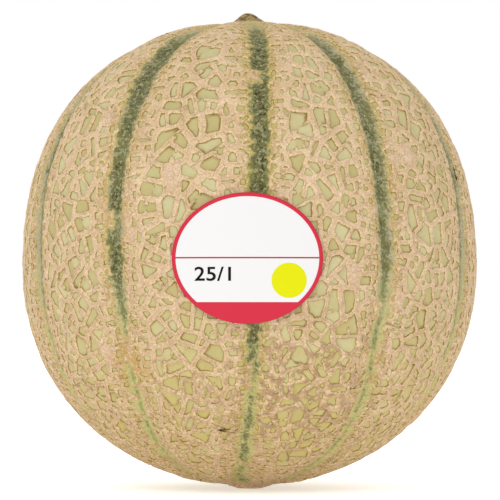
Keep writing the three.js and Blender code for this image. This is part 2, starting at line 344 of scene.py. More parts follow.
def local_axes(centre: np.ndarray) -> tuple[np.ndarray, np.ndarray]:
    """Level and upward directions along the rind at a place.

    Args:
        centre: Unit direction of the place.

    Returns:
        The direction to the right, seen from outside, and the direction up.
    """
    helper = (0.0, 0.0, 1.0) if abs(centre[2]) < STEEPEST_RISE else (0.0, 1.0, 0.0)
    east = unit(np.cross(helper, centre))
    return east, np.cross(centre, east)


def polygon_area(corners: np.ndarray) -> float:
    """Area inside a flat outline, one corner a row, anticlockwise positive."""
    after = np.roll(corners, -1, axis=0)
    return float(np.sum(corners[:, 0] * after[:, 1] - after[:, 0] * corners[:, 1])) / 2.0


@dataclass
class CellPattern:
    """Pattern of cells over the whole rind, on the unit sphere of directions.

    The hull over scattered seeds gives each its cell. Cells of the net then crack across until
    they are small enough. Pitches are the least distances between seeds. A weight over 1 pushes
    a seed out of the sphere before the hull is taken, which widens its cell. A stretch that cork
    has overgrown is given by its suture's number, its row, and the heights that it lies between.
    The sutures numbered in the wide tops are that much wider near the crown. Far down, cells
    crack until they are the lower share of the size that they crack at elsewhere.
    """

    shape: MelonShape
    net_pitch: float = 8.4
    edge_pitch: float = 2.9
    edge_reaches: Pair = (1.0, 5.0)
    end_pitch: float = 5.6
    end_radii: Pair = (12.0, 30.0)
    pitch_spread: Pair = (0.75, 1.3)
    tries: int = 60000
    crack_area: float = 35.0
    edge_crack_area: float = 9.0
    lower_crack_share: float = 0.72
    lower_falls: Pair = (0.3, 0.6)
    crack_spread: Pair = (0.45, 1.5)
    crack_tilt: float = math.radians(24.0)
    crack_stray: float = 0.15
    crack_end_share: float = 0.3
    shortest_side: float = 0.9
    suture_pitch: float = 2.7
    suture_half_widths: tuple[float, float, float] = (1.3, 2.5, 1.5)
    narrow_rises: Pair = (-0.5, 0.1)
    narrow_radii: Pair = (8.0, 36.0)
    wide_tops: tuple[tuple[int, float], ...] = ((9, 1.38), (1, 1.2))
    wide_top_rises: Pair = (0.5, 0.68)
    suture_end_arcs: Pair = (11.0, 13.0)
    suture_stray: float = 0.3
    beside_stray: float = 1.1
    inward_share: float = 0.3
    suture_margin: float = 1.0
    overgrown_shares: Pair = (0.015, 0.2)
    overgrown_rises: Pair = (-0.45, 0.05)
    overgrown_stretches: tuple[tuple[int, float, float, float], ...] = (
        (9, -0.5, 38.5, 46.0),
        (9, 0.5, 38.5, 46.0),
        (9, -0.5, 78.0, 84.0),
        (0, -0.5, 122.0, 126.5),
        (0, 0.5, 116.5, 118.0),
    )
    stub_radius: float = 6.4
    stub_ring: tuple[int, float] = (17, 8.4)
    scar_radius: float = 7.6
    scar_ring: tuple[int, float] = (20, 10.2)
    ring_turn_stray: float = 0.2
    ring_arc_strays: Pair = (-0.04, 0.08)
    ring_clearance: float = 1.2
    shortest_strand: float = 0.6
    seed: int = 11
    cells: list[Cell] = field(default_factory=list)
    corners: list[np.ndarray] = field(default_factory=list)
    traits: dict[tuple[int, int], SideTrait] = field(default_factory=dict)
    owners: dict[tuple[int, int], list[int]] = field(default_factory=dict)

    def suture_half_width(self, directions: np.ndarray) -> np.ndarray:
        """Half the width of the nearest suture, narrow at its ends and below the equator.

        Some sutures are wider near the crown.

        Args:
            directions: Unit directions, one a row.

        Returns:
            One half width a direction.
        """
        at_ends, above, below = self.suture_half_widths
        middle = below + (above - below) * smoothstep(directions[:, 2], *self.narrow_rises)
        grown = smoothstep(self.shape.axis_distances(directions), *self.narrow_radii)
        widening = np.ones(self.shape.lobe_count)
        for suture, share in self.wide_tops:
            widening[suture] = share
        turns = np.round(self.shape.suture_turns(directions)).astype(int) % self.shape.lobe_count
        at_top = smoothstep(directions[:, 2], *self.wide_top_rises)
        spread = 1.0 + (widening[turns] - 1.0) * at_top
        return (at_ends + (middle - at_ends) * grown) * spread

    def nearness(self, directions: np.ndarray) -> np.ndarray:
        """How near directions lie to a suture's edge, from 1 at it to 0 out of its reach."""
        gaps = np.abs(self.shape.suture_gaps(directions)) - self.suture_half_width(directions)
        return 1.0 - smoothstep(gaps, *self.edge_reaches)

    def flattened(self, cell: Cell) -> np.ndarray:
        """Corners of a cell in millimetres on the flat patch round its middle, one a row."""
        east, north = local_axes(cell.centre)
        around = np.array([self.corners[number] for number in cell.loop])
        scale = self.shape.equator_radius / (around @ cell.centre)
        return np.stack([around @ east, around @ north], axis=-1) * scale[:, None]

    def build(self) -> None:
        """Scatters the seeds, finds each cell's corners and cracks the wide cells."""
        rng = np.random.default_rng(self.seed)
        seeds, kinds, weights = self._end_seeds(rng)
        rows, row_kinds = self._suture_seeds(rng)
        seeds = np.concatenate([seeds, rows])
        kinds += row_kinds
        scattered = self._net_seeds(rng, seeds)
        kinds += [CellKind.NET] * len(scattered)
        seeds = np.concatenate([seeds, scattered])
        weights = np.concatenate([weights, np.ones(len(seeds) - len(weights))])
        self.cells = [Cell(kind, seed) for kind, seed in zip(kinds, seeds)]
        self._find_corners(seeds * weights[:, None])
        for number, cell in enumerate(self.cells):
            for side in cell.sides():
                self.owners.setdefault(side_key(*side), []).append(number)
        for key in self.owners:
            self.traits[key] = SideTrait(rng.random(), 0)
        self._crack_cells(rng)

    def _end_seeds(
        self, rng: np.random.Generator
    ) -> tuple[np.ndarray, list[CellKind], np.ndarray]:
        """Seeds of the stem stub and the blossom scar, and a ring of net cells round each.

        Args:
            rng: Source of random numbers.

        Returns:
            The seeds, their kinds and their weights.
        """
        seeds: list[np.ndarray] = []
        kinds: list[CellKind] = []
        weights: list[float] = []
        ends = [
            (CellKind.STUB, 0.0, 1.0, self.stub_radius, self.stub_ring),
            (CellKind.SCAR, math.pi, -1.0, self.scar_radius, self.scar_ring),
        ]
        for kind, polar, side, radius, (count, ring_arc) in ends:
            reach = radius / self.shape.crown_rise
            ring = ring_arc / self.shape.crown_rise
            seeds.append(directions_at(polar, 0.0))
            kinds.append(kind)
            weights.append(math.cos(ring - reach) / math.cos(reach))
            for index in range(count):
                turn = (index + rng.uniform(-self.ring_turn_stray, self.ring_turn_stray)) / count
                stray = 1.0 + rng.uniform(*self.ring_arc_strays)
                seeds.append(directions_at(polar + side * ring * stray, 2.0 * math.pi * turn))
                kinds.append(CellKind.NET)
                weights.append(1.0)
        return np.array(seeds), kinds, np.array(weights)

    def _suture_seeds(self, rng: np.random.Generator) -> tuple[np.ndarray, list[CellKind]]:
        """Two staggered rows of seeds down each suture, and a row of net cells on each side.

        Cork has overgrown some of the suture's own cells.

        Args:
            rng: Source of random numbers.

        Returns:
            One seed a row, and the seeds' kinds.
        """
        radius = self.shape.equator_radius
        first, last = (arc / self.shape.crown_rise for arc in self.suture_end_arcs)
        count = int((math.pi - first - last) * radius / self.suture_pitch)
        seeds = []
        kinds = []
        for suture in range(self.shape.lobe_count):
            azimuth = self.shape.first_suture + suture * self.shape.lobe_angle
            for side in SUTURE_ROWS:
                stray = self.suture_stray if abs(side) < 1.0 else self.beside_stray
                steps = (np.arange(count) + 0.5 * (side % 2.0 > 1.0)) / count
                polar = first + steps * (math.pi - first - last)
                polar = polar + rng.uniform(-1.0, 1.0, count) * stray / radius
                middle = directions_at(polar, azimuth)
                outwards = rng.uniform(-self.inward_share, 1.0, count) * stray
                gap = side * self.suture_half_width(middle) + math.copysign(1.0, side) * outwards
                turn = gap / self.shape.axis_distances(middle)
                row = directions_at(polar, azimuth + turn)
                above, below = self.overgrown_shares
                at_top = smoothstep(row[:, 2], *self.overgrown_rises)
                share = below + (above - below) * at_top
                heights = self.shape.points(row, np.zeros(count))[:, 2]
                is_overgrown = rng.random(count) < share
                for patch, patch_side, low, high in self.overgrown_stretches:
                    if (suture, side) == (patch, patch_side):
                        is_overgrown |= (heights > low) & (heights < high)
                seeds.append(row)
                if abs(side) > 1.0:
                    kinds += [CellKind.NET] * count
                else:
                    grown_kinds = (CellKind.SUTURE, CellKind.OVERGROWN)
                    kinds += [grown_kinds[int(is_grown)] for is_grown in is_overgrown]
        return np.concatenate(seeds), kinds

    def _net_seeds(self, rng: np.random.Generator, taken: np.ndarray) -> np.ndarray:
        """Seeds of the net, thrown at random and kept where they are clear of the others.

        Args:
            rng: Source of random numbers.
            taken: Seeds that are already there.

        Returns:
            One seed a row.
        """
        polar = np.arccos(rng.uniform(-1.0, 1.0, self.tries))
        tries = directions_at(polar, rng.uniform(0.0, 2.0 * math.pi, self.tries))
        gaps = np.abs(self.shape.suture_gaps(tries))
        radii = self.shape.axis_distances(tries)
        near = self.nearness(tries)
        at_end = 1.0 - smoothstep(radii, *self.end_radii)
        pitch = self.net_pitch + (self.edge_pitch - self.net_pitch) * near
        pitch = pitch + (self.end_pitch - pitch) * at_end * (1.0 - near)
        pitch = pitch * rng.uniform(*self.pitch_spread, self.tries)
        is_upper = tries[:, 2] > 0.0
        end_arc = np.where(is_upper, *self.suture_end_arcs)
        ring_arc = np.where(is_upper, self.stub_ring[1], self.scar_ring[1])
        is_beside = gaps > max(SUTURE_ROWS) * self.suture_half_width(tries) + self.suture_margin
        allowed = (is_beside | (radii < end_arc)) & (radii > ring_arc + self.ring_clearance)
        nearest_dot = np.cos(pitch / self.shape.equator_radius)
        kept = np.empty((len(taken) + self.tries, 3))
        kept[: len(taken)] = taken
        count = len(taken)
        for index in np.flatnonzero(allowed):
            if (kept[:count] @ tries[index]).max() < nearest_dot[index]:
                kept[count] = tries[index]
                count += 1
        return kept[len(taken) : count]

    def _find_corners(self, hull_points: np.ndarray) -> None:
        """Takes the hull over the seeds and gives each cell its loop of corners.

        Args:
            hull_points: The seeds, pushed out by their weights, one a row.
        """
        hull = bmesh.new()
        for point in hull_points:
            hull.verts.new(point)
        hull.verts.index_update()
        bmesh.ops.convex_hull(hull, input=hull.verts[:])
        hull.faces.index_update()
        faces = np.array([[vert.index for vert in face.verts] for face in hull.faces])
        joins = [
            tuple(face.index for face in edge.link_faces)
            for edge in hull.edges
            if len(edge.link_faces) == 2
        ]
        hull.free()
        first, second, third = (hull_points[faces[:, side]] for side in range(3))
        normals = np.cross(second - first, third - first)
        normals *= np.sign(np.einsum("ij,ij->i", normals, first))[:, None]
        self.corners = list(normals / np.linalg.norm(normals, axis=1)[:, None])
        target = self._merged(joins)
        rounds: list[list[int]] = [[] for _ in self.cells]
        for number, face in enumerate(faces):
            for cell in face:
                rounds[cell].append(number)
        for cell, numbers in zip(self.cells, rounds):
            east, north = local_axes(cell.centre)
            around = np.array([self.corners[number] for number in numbers])
            order = np.argsort(np.arctan2(around @ north, around @ east))
            loop = [target[numbers[place]] for place in order]
            cell.loop = [number for place, number in enumerate(loop) if number != loop[place - 1]]

    def _merged(self, joins: list[tuple[int, int]]) -> list[int]:
        """Joins corners that a strand too short to show would part.

        Args:
            joins: The two corners at the ends of each strand.

        Returns:
            What each corner becomes.
        """
        target = list(range(len(self.corners)))

        def settle(number: int) -> int:
            """Follows a corner to the one that stands for it."""
            while target[number] != number:
                number = target[number]
            return number

        least = self.shortest_strand / self.shape.equator_radius
        for first, second in joins:
            if np.linalg.norm(self.corners[first] - self.corners[second]) < least:
                target[settle(second)] = settle(first)
        return [settle(number) for number in target]

    def _crack_cells(self, rng: np.random.Generator) -> None:
        """Parts wide net cells across, again and again, as skin cracks while a melon swells.

        Args:
            rng: Source of random numbers.
        """
        waiting = [
            number
            for number, cell in enumerate(self.cells)
            if cell.kind is CellKind.NET and len(cell.loop) >= 3
        ]
        while waiting:
            number = waiting.pop()
            cell = self.cells[number]
            flat = self.flattened(cell)
            near = float(self.nearness(cell.centre[None])[0])
            limit = self.crack_area + (self.edge_crack_area - self.crack_area) * near
            fall = float(smoothstep(-cell.centre[2], *self.lower_falls))
            limit *= 1.0 + (self.lower_crack_share - 1.0) * fall
            if polygon_area(flat) > limit * rng.uniform(*self.crack_spread):
                waiting += self._crack(number, flat, rng)

    def _crack(self, number: int, flat: np.ndarray, rng: np.random.Generator) -> list[int]:
        """Parts one cell roughly across its length.

        Args:
            number: The cell's number.
            flat: Its corners on its flat patch, one a row.
            rng: Source of random numbers.

        Returns:
            The numbers of the two cells that come of it, or none where it can't be parted.
        """
        cell = self.cells[number]
        around = flat - flat.mean(axis=0)
        lengthways = np.linalg.eigh(around.T @ around)[1][:, 1]
        turn = math.atan2(lengthways[1], lengthways[0]) + rng.uniform(-1.0, 1.0) * self.crack_tilt
        heights = around @ (math.cos(turn), math.sin(turn))
        heights -= rng.uniform(-1.0, 1.0) * self.crack_stray * np.ptp(heights)
        after = np.roll(heights, -1)
        crossed = np.flatnonzero((heights > 0.0) != (after > 0.0))
        if len(crossed) != 2:
            return []
        sides = cell.sides()
        ends = [
            self._corner_on_side(*sides[place], heights[place] / (heights[place] - after[place]))
            for place in crossed
        ]
        low, high = sorted(cell.loop.index(end) for end in ends)
        if high - low < 2 or low + len(cell.loop) - high < 2:
            return []
        new_number = len(self.cells)
        cell.age += 1
        new_loop = cell.loop[high:] + cell.loop[: low + 1]
        new_cell = Cell(CellKind.NET, cell.centre, new_loop, cell.age)
        cell.loop = cell.loop[low : high + 1]
        self.cells.append(new_cell)
        for side in new_cell.sides():
            owners = self.owners.get(side_key(*side), [])
            self.owners[side_key(*side)] = [
                new_number if owner == number else owner for owner in owners
            ]
        self.owners[side_key(*ends)] = [number, new_number]
        self.traits[side_key(*ends)] = SideTrait(rng.random(), cell.age)
        for part in (cell, new_cell):
            part.centre = unit(sum(self.corners[corner] for corner in part.loop))
        return [number, new_number]

    def _corner_on_side(self, start: int, end: int, share: float) -> int:
        """Adds a corner part of the way along a side, unless one of its ends is close enough.

        Args:
            start: Corner that the side starts from.
            end: Corner that it ends at.
            share: How far along it the new corner comes, from 0 to 1.

        Returns:
            The corner's number.
        """
        along = self.corners[end] - self.corners[start]
        length = float(np.linalg.norm(along)) * self.shape.equator_radius
        share = min(max(share, self.crack_end_share), 1.0 - self.crack_end_share)
        if min(share, 1.0 - share) * length < self.shortest_side:
            return start if share < 0.5 else end
        number = len(self.corners)
        self.corners.append(unit(self.corners[start] + share * along))
        key = side_key(start, end)
        owners = self.owners.pop(key)
        trait = self.traits.pop(key)
        for owner in owners:
            cell = self.cells[owner]
            place = next(
                place for place, side in enumerate(cell.sides()) if side_key(*side) == key
            )
            cell.loop.insert(place + 1, number)
        for half in (side_key(start, number), side_key(number, end)):
            self.owners[half] = list(owners)
            self.traits[half] = trait
        return number


class Relief(Enum):
    """How much of a strand there is at a point of the mesh, which the finish is mixed by."""

    CREST = 1.0
    SHOULDER = 0.62
    FOOT = 0.28
    SUNK_STRAND = 0.1
    FLOOR = 0.0


@dataclass
class RindSurface:
    """Mesh of the rind as it grows: points by direction and depth, triangles and tones."""

    shape: MelonShape
    directions: list[np.ndarray] = field(default_factory=list)
    depths: list[float] = field(default_factory=list)
    reliefs: list[float] = field(default_factory=list)
    tones: list[float] = field(default_factory=list)
    sutures: list[float] = field(default_factory=list)
    placed: dict[int, tuple[float, float, float]] = field(default_factory=dict)
    stub_shares: dict[int, float] = field(default_factory=dict)
    triangles: list[tuple[int, int, int]] = field(default_factory=list)
    unfold_rounds: int = 16

    def add(
        self, direction: np.ndarray, depth: float, relief: Relief, tone: float, suture: float = 0.0
    ) -> int:
        """Adds a point of the rind.

        Args:
            direction: Where it lies in the even pattern.
            depth: How far it lies below the highest strands.
            relief: How much of a strand there is.
            tone: Random number from 0 to 1 that its colour varies by.
            suture: How much it belongs to a suture, from 0 to 1.

        Returns:
            The point's number.
        """
        self.directions.append(direction)
        self.depths.append(depth)
        self.reliefs.append(relief.value)
        self.tones.append(tone)
        self.sutures.append(suture)
        return len(self.directions) - 1

    def place(
        self, spoke: np.ndarray, point: tuple[float, float, float], tone: float, stub_share: float
    ) -> int:
        """Adds a point of the stub or the scar, given by its own place.

        Args:
            spoke: Direction that it is sorted round the melon's end by.
            point: The place.
            tone: Random number from 0 to 1 that its colour varies by.
            stub_share: How far up the stem stub it is, from 0 to 1.

        Returns:
            The point's number.
        """
        number = self.add(spoke, 0.0, Relief.CREST, tone)
        self.placed[number] = point
        self.stub_shares[number] = stub_share
        return number

    def band(self, outer: list[int], inner: list[int], middle: np.ndarray) -> None:
        """Fills the band between two loops that run anticlockwise round a middle.

        Args:
            outer: Numbers of the outer loop's points.
            inner: Numbers of the inner loop's points.
            middle: Direction that both loops run round.
        """
        east, north = local_axes(middle)
        turns = []
        for loop in (outer, inner):
            around = np.array([self.directions[number] for number in loop])
            turns.append(np.arctan2(around @ north, around @ east))
        starts = [int(np.argmin(turn)) for turn in turns]
        rounds = []
        for loop, turn, start in zip((outer, inner), turns, starts):
            order = [(start + step) % len(loop) for step in range(len(loop))]
            angles = [turn[place] for place in order] + [turn[start] + 2.0 * math.pi]
            rounds.append(([loop[place] for place in order] + [loop[start]], angles))
        (outer_round, outer_angles), (inner_round, inner_angles) = rounds
        at_outer = at_inner = 0
        while at_outer < len(outer) or at_inner < len(inner):
            is_outer_next = at_inner == len(inner) or (
                at_outer < len(outer)
                and outer_angles[at_outer] + outer_angles[at_outer + 1]
                <= inner_angles[at_inner] + inner_angles[at_inner + 1]
            )
            last = (outer_round[at_outer], inner_round[at_inner])
            if is_outer_next:
                at_outer += 1
                self.triangles.append((last[0], outer_round[at_outer], last[1]))
            else:
                at_inner += 1
                self.triangles.append((last[0], inner_round[at_inner], last[1]))

    def fan(self, loop: list[int], middle: int) -> None:
        """Fills a loop with triangles that meet at a middle point."""
        for place, number in enumerate(loop):
            self.triangles.append((loop[place - 1], number, middle))

    def build(self, name: str) -> bpy.types.Object:
        """Makes the mesh, with the attributes that its finish reads.

        Args:
            name: The piece's name.

        Returns:
            The piece.
        """
        directions = np.array(self.directions)
        points = self.shape.points(directions, np.array(self.depths))
        for number, point in self.placed.items():
            points[number] = point
        self._unfold(points)
        piece = mesh_piece(name, points, self.triangles)
        stub = np.zeros(len(points))
        stub[list(self.stub_shares)] = list(self.stub_shares.values())
        add_attribute(piece, "relief", np.array(self.reliefs))
        add_attribute(piece, "tone", np.array(self.tones))
        add_attribute(piece, "stub", stub)
        return piece

    def _unfold(self, points: np.ndarray) -> None:
        """Evens out narrow places where the mesh folds over itself, as far as the rounds go.

        Args:
            points: The mesh's points, one a row, which are moved in place.
        """
        triangles = np.array(self.triangles)
        starts = triangles.ravel()
        ends = np.roll(triangles, -1, axis=1).ravel()
        counts = np.bincount(starts, minlength=len(points))
        middle = (0.0, 0.0, self.shape.equator_height)
        for _ in range(self.unfold_rounds):
            first, second, third = (points[triangles[:, corner]] for corner in range(3))
            normals = np.cross(second - first, third - first)
            is_folded = np.einsum("ij,ij->i", normals, first - middle) < 0.0
            is_moved = np.zeros(len(points), dtype=bool)
            is_moved[triangles[is_folded].ravel()] = True
            is_moved[list(self.placed)] = False
            sums = np.zeros_like(points)
            np.add.at(sums, starts, points[ends])
            means = sums[is_moved] / counts[is_moved, None]
            points[is_moved] = (points[is_moved] + means) / 2.0


def mesh_piece(name: str, points: np.ndarray, faces: list[tuple[int, ...]]) -> bpy.types.Object:
    """Makes a smooth-shaded mesh object from points in millimetres.

    Args:
        name: The piece's name.
        points: One point a row.
        faces: The points' numbers round each face, anticlockwise.

    Returns:
        The piece.
    """
    mesh = bpy.data.meshes.new(name)
    mesh.from_pydata((points * METRES_PER_MM).tolist(), [], faces)
    mesh.validate()
    mesh.shade_smooth()
    piece = bpy.data.objects.new(name, mesh)
    bpy.context.scene.collection.objects.link(piece)
    return piece


def add_attribute(piece: bpy.types.Object, name: str, values: np.ndarray) -> None:
    """Stores one number a point on a piece's mesh."""
    attribute = piece.data.attributes.new(name, "FLOAT", "POINT")
    attribute.data.foreach_set("value", values.astype(np.float32))


@dataclass
class Strand:
    """Side that two cells share.

    Its points run from its lower-numbered corner to the higher one, without the corners. If it
    has a gap, it is sunk to the level of the skin between those shares of its length.
    """

    points: list[int]
    half_width: float
    gap: Pair | None

    def is_sunk(self, share: float) -> bool:
        """Whether the strand is sunk at a share of its length."""
        return self.gap is not None and self.gap[0] < share < self.gap[1]


def by_age(shares: tuple[float, ...], age: int) -> float:
    """Share for a strand's age. The last one holds for all that are older."""
    return shares[min(age, len(shares) - 1)]


def inset_polygon(corners: np.ndarray, insets: list[float]) -> list[tuple[float, float, int]]:
    """Moves each side of a convex outline inwards.

    Args:
        corners: The outline's corners, one a row, anticlockwise.
        insets: How far the side after each corner moves.

    Returns:
        The corners that are left, each with the number of the side after it.
    """
    tiny = 1e-6
    outline = [(float(x), float(y), side) for side, (x, y) in enumerate(corners)]
    for side, inset in enumerate(insets):
        x, y = corners[side]
        along_x, along_y = corners[(side + 1) % len(corners)] - corners[side]
        length = math.hypot(along_x, along_y) or 1.0
        heights = [
            ((py - y) * along_x - (px - x) * along_y) / length - inset for px, py, _ in outline
        ]
        clipped = []
        for place, (px, py, own) in enumerate(outline):
            follower = (place + 1) % len(outline)
            here, there = heights[place], heights[follower]
            if here >= -tiny:
                clipped.append((px, py, own))
            if (here >= -tiny) != (there >= -tiny):
                share = here / (here - there)
                cut_x = px + share * (outline[follower][0] - px)
                cut_y = py + share * (outline[follower][1] - py)
                clipped.append((cut_x, cut_y, side if here >= -tiny else own))
        outline = clipped
        if len(outline) < 3:
            return []
    return outline


@dataclass(frozen=True)
class NetPatch:
    """Round patch of net whose cork has a colour of its own.

    It has the name that the finish reads it by, its middle's angles down from the stem and round
    from the front, in degrees, and how far from there it begins to fade and ends.
    """

    name: str
    polar: float
    azimuth: float
    fade_reaches: Pair


@dataclass
class Rind:
    """The melon's rind: net, islands, sutures, stem stub and blossom scar, in one mesh.

    A bare stretch of cork is given by the number of the suture that it lies along, how far from
    the suture's middle it reaches, towards +X where that is over 0, and the heights that it lies
    between. Each suture's darkness is given by a height, and the share above it and below it.
    Strands bend by up to the wobble, but by no more than the wobble share of their half width.
    """

    shape: MelonShape
    crest_depths: Pair = (0.0, 0.24)
    shoulder_drop: float = 0.09
    shoulder_stray: float = 0.06
    floor_depth: float = 0.62
    floor_dome: float = 0.1
    floor_stray: float = 0.1
    flank: float = 0.2
    widest_flank_share: float = 0.45
    upright_half_widths: Pair = (0.5, 1.12)
    level_half_widths: Pair = (0.38, 0.86)
    fringe_half_widths: Pair = (0.4, 1.3)
    edge_width_share: float = 0.66
    width_shares_by_age: tuple[float, ...] = (1.0, 0.88, 0.72, 0.6)
    open_shares_by_age: tuple[float, ...] = (0.02, 0.1, 0.26, 0.34)
    spur_share: float = 0.6
    open_inset: float = 0.3
    open_least_length: float = 1.9
    spur_gaps: tuple[Pair, ...] = ((0.0, 0.6), (0.4, 1.0))
    bend_lengths: tuple[float, ...] = (1.9, 3.6)
    wobble: float = 0.4
    wobble_share: float = 0.5
    least_bent_length: float = 0.5
    least_island: float = 0.4
    widest_inset_share: float = 0.5
    sharp_corner: float = math.radians(80.0)
    sharpest_corner: float = math.radians(33.0)
    blunt_reach: float = 0.5
    blunt_share: float = 0.4
    filled_share: float = 0.012
    filled_share_at_sutures: float = 0.2
    bare_stretches: tuple[tuple[int, float, float, float], ...] = (
        (9, 5.8, 75.0, 93.0),
        (9, 4.6, 55.0, 62.0),
        (0, -4.0, 112.0, 122.0),
    )
    suture_depth: float = 0.72
    suture_roughness: float = 0.16
    suture_edge_depth: float = 0.4
    suture_darkness: tuple[tuple[float, float, float], ...] = (
        (46.0, 1.0, 0.36),
        (64.0, 0.5, 0.16),
        (84.0, 0.34, 0.1),
        (60.0, 0.9, 0.1),
        (55.0, 1.0, 0.2),
        (62.0, 0.8, 0.1),
        (50.0, 1.0, 0.3),
        (58.0, 0.7, 0.1),
        (84.0, 0.36, 0.1),
        (55.0, 0.64, 0.14),
    )
    darkness_blend: float = 12.0
    fringe_reaches: Pair = (0.3, 4.0)
    fringe_end_radii: Pair = (7.0, 13.0)
    inner_fringe_share: float = 0.45
    pale_fringe_share: float = 0.6
    collar_radii: Pair = (9.0, 14.0)
    crown_radii: Pair = (15.0, 42.0)
    crown_suture_share: float = 0.5
    net_patches: tuple[NetPatch, ...] = (
        NetPatch("rust", 122.0, 14.0, (8.0, 38.0)),
        NetPatch("amber", 116.0, -34.0, (3.0, 10.0)),
    )
    stub_lean: float = -0.5
    stub_segments: int = 40
    stub_roughness: float = 0.05
    scar_segments: int = 36
    scar_roughness: float = 0.02
    ring_stray: float = 0.5
    seed: int = 23

    def __post_init__(self) -> None:
        """Starts the mesh and its random numbers."""
        self.rng = np.random.default_rng(self.seed)
        self.pattern = CellPattern(self.shape)
        self.surface = RindSurface(self.shape)
        self.corner_points: dict[int, int] = {}
        self.strands: dict[tuple[int, int], Strand] = {}

    def build(self) -> bpy.types.Object:
        """Builds the rind's mesh.

        Returns:
            The piece.
        """
        self.pattern.build()
        self._add_corners()
        for key, owners in self.pattern.owners.items():
            kinds = {self.pattern.cells[owner].kind for owner in owners}
            self.strands[key] = self._strand(key, kinds)
        builders = {
            CellKind.NET: self._add_net_cell,
            CellKind.SUTURE: self._add_suture_cell,
            CellKind.OVERGROWN: self._add_cork,
            CellKind.STUB: self._add_stub,
            CellKind.SCAR: self._add_scar,
        }
        for cell in self.pattern.cells:
            if len(cell.loop) >= 3:
                builders[cell.kind](cell)
        piece = self.surface.build("rind")
        self._add_colour_attributes(piece)
        LOG.info("rind: %d cells, %d triangles", len(self.pattern.cells), len(piece.data.polygons))
        return piece

    def _add_colour_attributes(self, piece: bpy.types.Object) -> None:
        """Stores what the finish reads about sutures, the collar and patches of the net.

        Args:
            piece: The rind's mesh.
        """
        shape = self.shape
        directions = np.array(self.surface.directions)
        distances = shape.axis_distances(directions)
        is_upper = directions[:, 2] > 0.0
        gaps = shape.suture_gaps(directions)
        half_widths = self.pattern.suture_half_width(directions)
        share = self.crown_suture_share
        opened = np.where(is_upper, smoothstep(distances, *self.crown_radii), 1.0)
        ends = smoothstep(distances, *self.fringe_end_radii)
        darkness = self._darkness(directions)
        fringe = 1.0 - smoothstep(np.abs(gaps) - half_widths, *self.fringe_reaches)
        fringe *= np.where(gaps * directions[:, 0] > 0.0, 1.0, self.inner_fringe_share)
        fringe *= self.pale_fringe_share + (1.0 - self.pale_fringe_share) * darkness
        collar = 1.0 - smoothstep(distances, *self.collar_radii)
        sutures = np.array(self.surface.sutures)
        add_attribute(piece, "suture", sutures * (share + (1.0 - share) * opened))
        add_attribute(piece, "darkness", darkness * ends * opened)
        add_attribute(piece, "fringe", fringe * ends)
        add_attribute(piece, "middle", np.clip(1.0 - np.abs(gaps) / half_widths, 0.0, 1.0))
        add_attribute(piece, "near", self.pattern.nearness(directions))
        add_attribute(piece, "collar", np.where(is_upper, collar, 0.0))
        for patch in self.net_patches:
            middle = directions_at(*np.radians((patch.polar, patch.azimuth)))
            away = np.arccos(np.clip(directions @ middle, -1.0, 1.0)) * shape.equator_radius
            add_attribute(piece, patch.name, 1.0 - smoothstep(away, *patch.fade_reaches))

    def _darkness(self, directions: np.ndarray) -> np.ndarray:
        """How dark the nearest suture is at the height of each direction.

        Args:
            directions: Unit directions, one a row.

        Returns:
            One share a direction, from 0 for a pale stripe to 1 for dark skin.
        """
        heights = self.shape.points(directions, np.zeros(len(directions)))[:, 2]
        turns = np.round(self.shape.suture_turns(directions)).astype(int) % self.shape.lobe_count
        foot, above, below = np.array(self.suture_darkness)[turns].T
        blend = smoothstep(heights - foot, -self.darkness_blend, self.darkness_blend)
        return below + (above - below) * blend

    def _add_corners(self) -> None:
        """Adds a point for each corner, at a height that suits the cells that meet there."""
        meeting: dict[int, set[CellKind]] = {}
        for cell in self.pattern.cells:
            for number in cell.loop:
                meeting.setdefault(number, set()).add(cell.kind)
        for number, kinds in meeting.items():
            depth = self.rng.uniform(*self.crest_depths)
            if CellKind.SUTURE in kinds:
                depth = self._suture_depth(kinds)
            direction = self.pattern.corners[number]
            self.corner_points[number] = self.surface.add(
                direction, depth, Relief.CREST, self.rng.random(), self._suture_share(kinds)
            )

    def _suture_depth(self, kinds: set[CellKind]) -> float:
        """Depth of a point between the given kinds of cells, of which one is a suture's."""
        level = self.suture_depth if kinds == {CellKind.SUTURE} else self.suture_edge_depth
        return level + self._stray(self.suture_roughness)

    def _suture_share(self, kinds: set[CellKind]) -> float:
        """How much a point between the given kinds of cells belongs to a suture."""
        if CellKind.SUTURE not in kinds:
            return 0.0
        return 1.0 if kinds == {CellKind.SUTURE} else 0.5

    def _stray(self, reach: float) -> float:
        """Random number up to reach either way."""
        return self.rng.uniform(-reach, reach)

    def _half_width(self, key: tuple[int, int], kinds: set[CellKind]) -> float:
        """Half the width of the strand on a side. Upright strands are wider than level ones.

        Args:
            key: Its two corners.
            kinds: What the cells on both sides hold.

        Returns:
            The half width.
        """
        if kinds != {CellKind.NET}:
            return self.rng.uniform(*self.fringe_half_widths)
        start, end = (self.pattern.corners[number] for number in key)
        middle = unit(start + end)
        uprightness = abs(float(unit(end - start) @ local_axes(middle)[1]))
        trait = self.pattern.traits[key]
        level, upright = (
            low + trait.width_share * (high - low)
            for low, high in (self.level_half_widths, self.upright_half_widths)
        )
        near = float(self.pattern.nearness(middle[None])[0])
        half_width = level + (upright - level) * uprightness
        half_width *= 1.0 + (self.edge_width_share - 1.0) * near
        return half_width * by_age(self.width_shares_by_age, trait.age)

    def _gap(self, key: tuple[int, int], length: float) -> Pair | None:
        """Picks the shares of a strand's length that it is sunk between, if it is.

        Args:
            key: Its two corners.
            length: Its length.

        Returns:
            The shares, or None for a whole strand.
        """
        share = by_age(self.open_shares_by_age, self.pattern.traits[key].age)
        if length < self.open_least_length or self.rng.random() > share:
            return None
        if self.rng.random() > self.spur_share:
            return 0.0, 1.0
        return self.spur_gaps[int(self.rng.random() >= 0.5)]

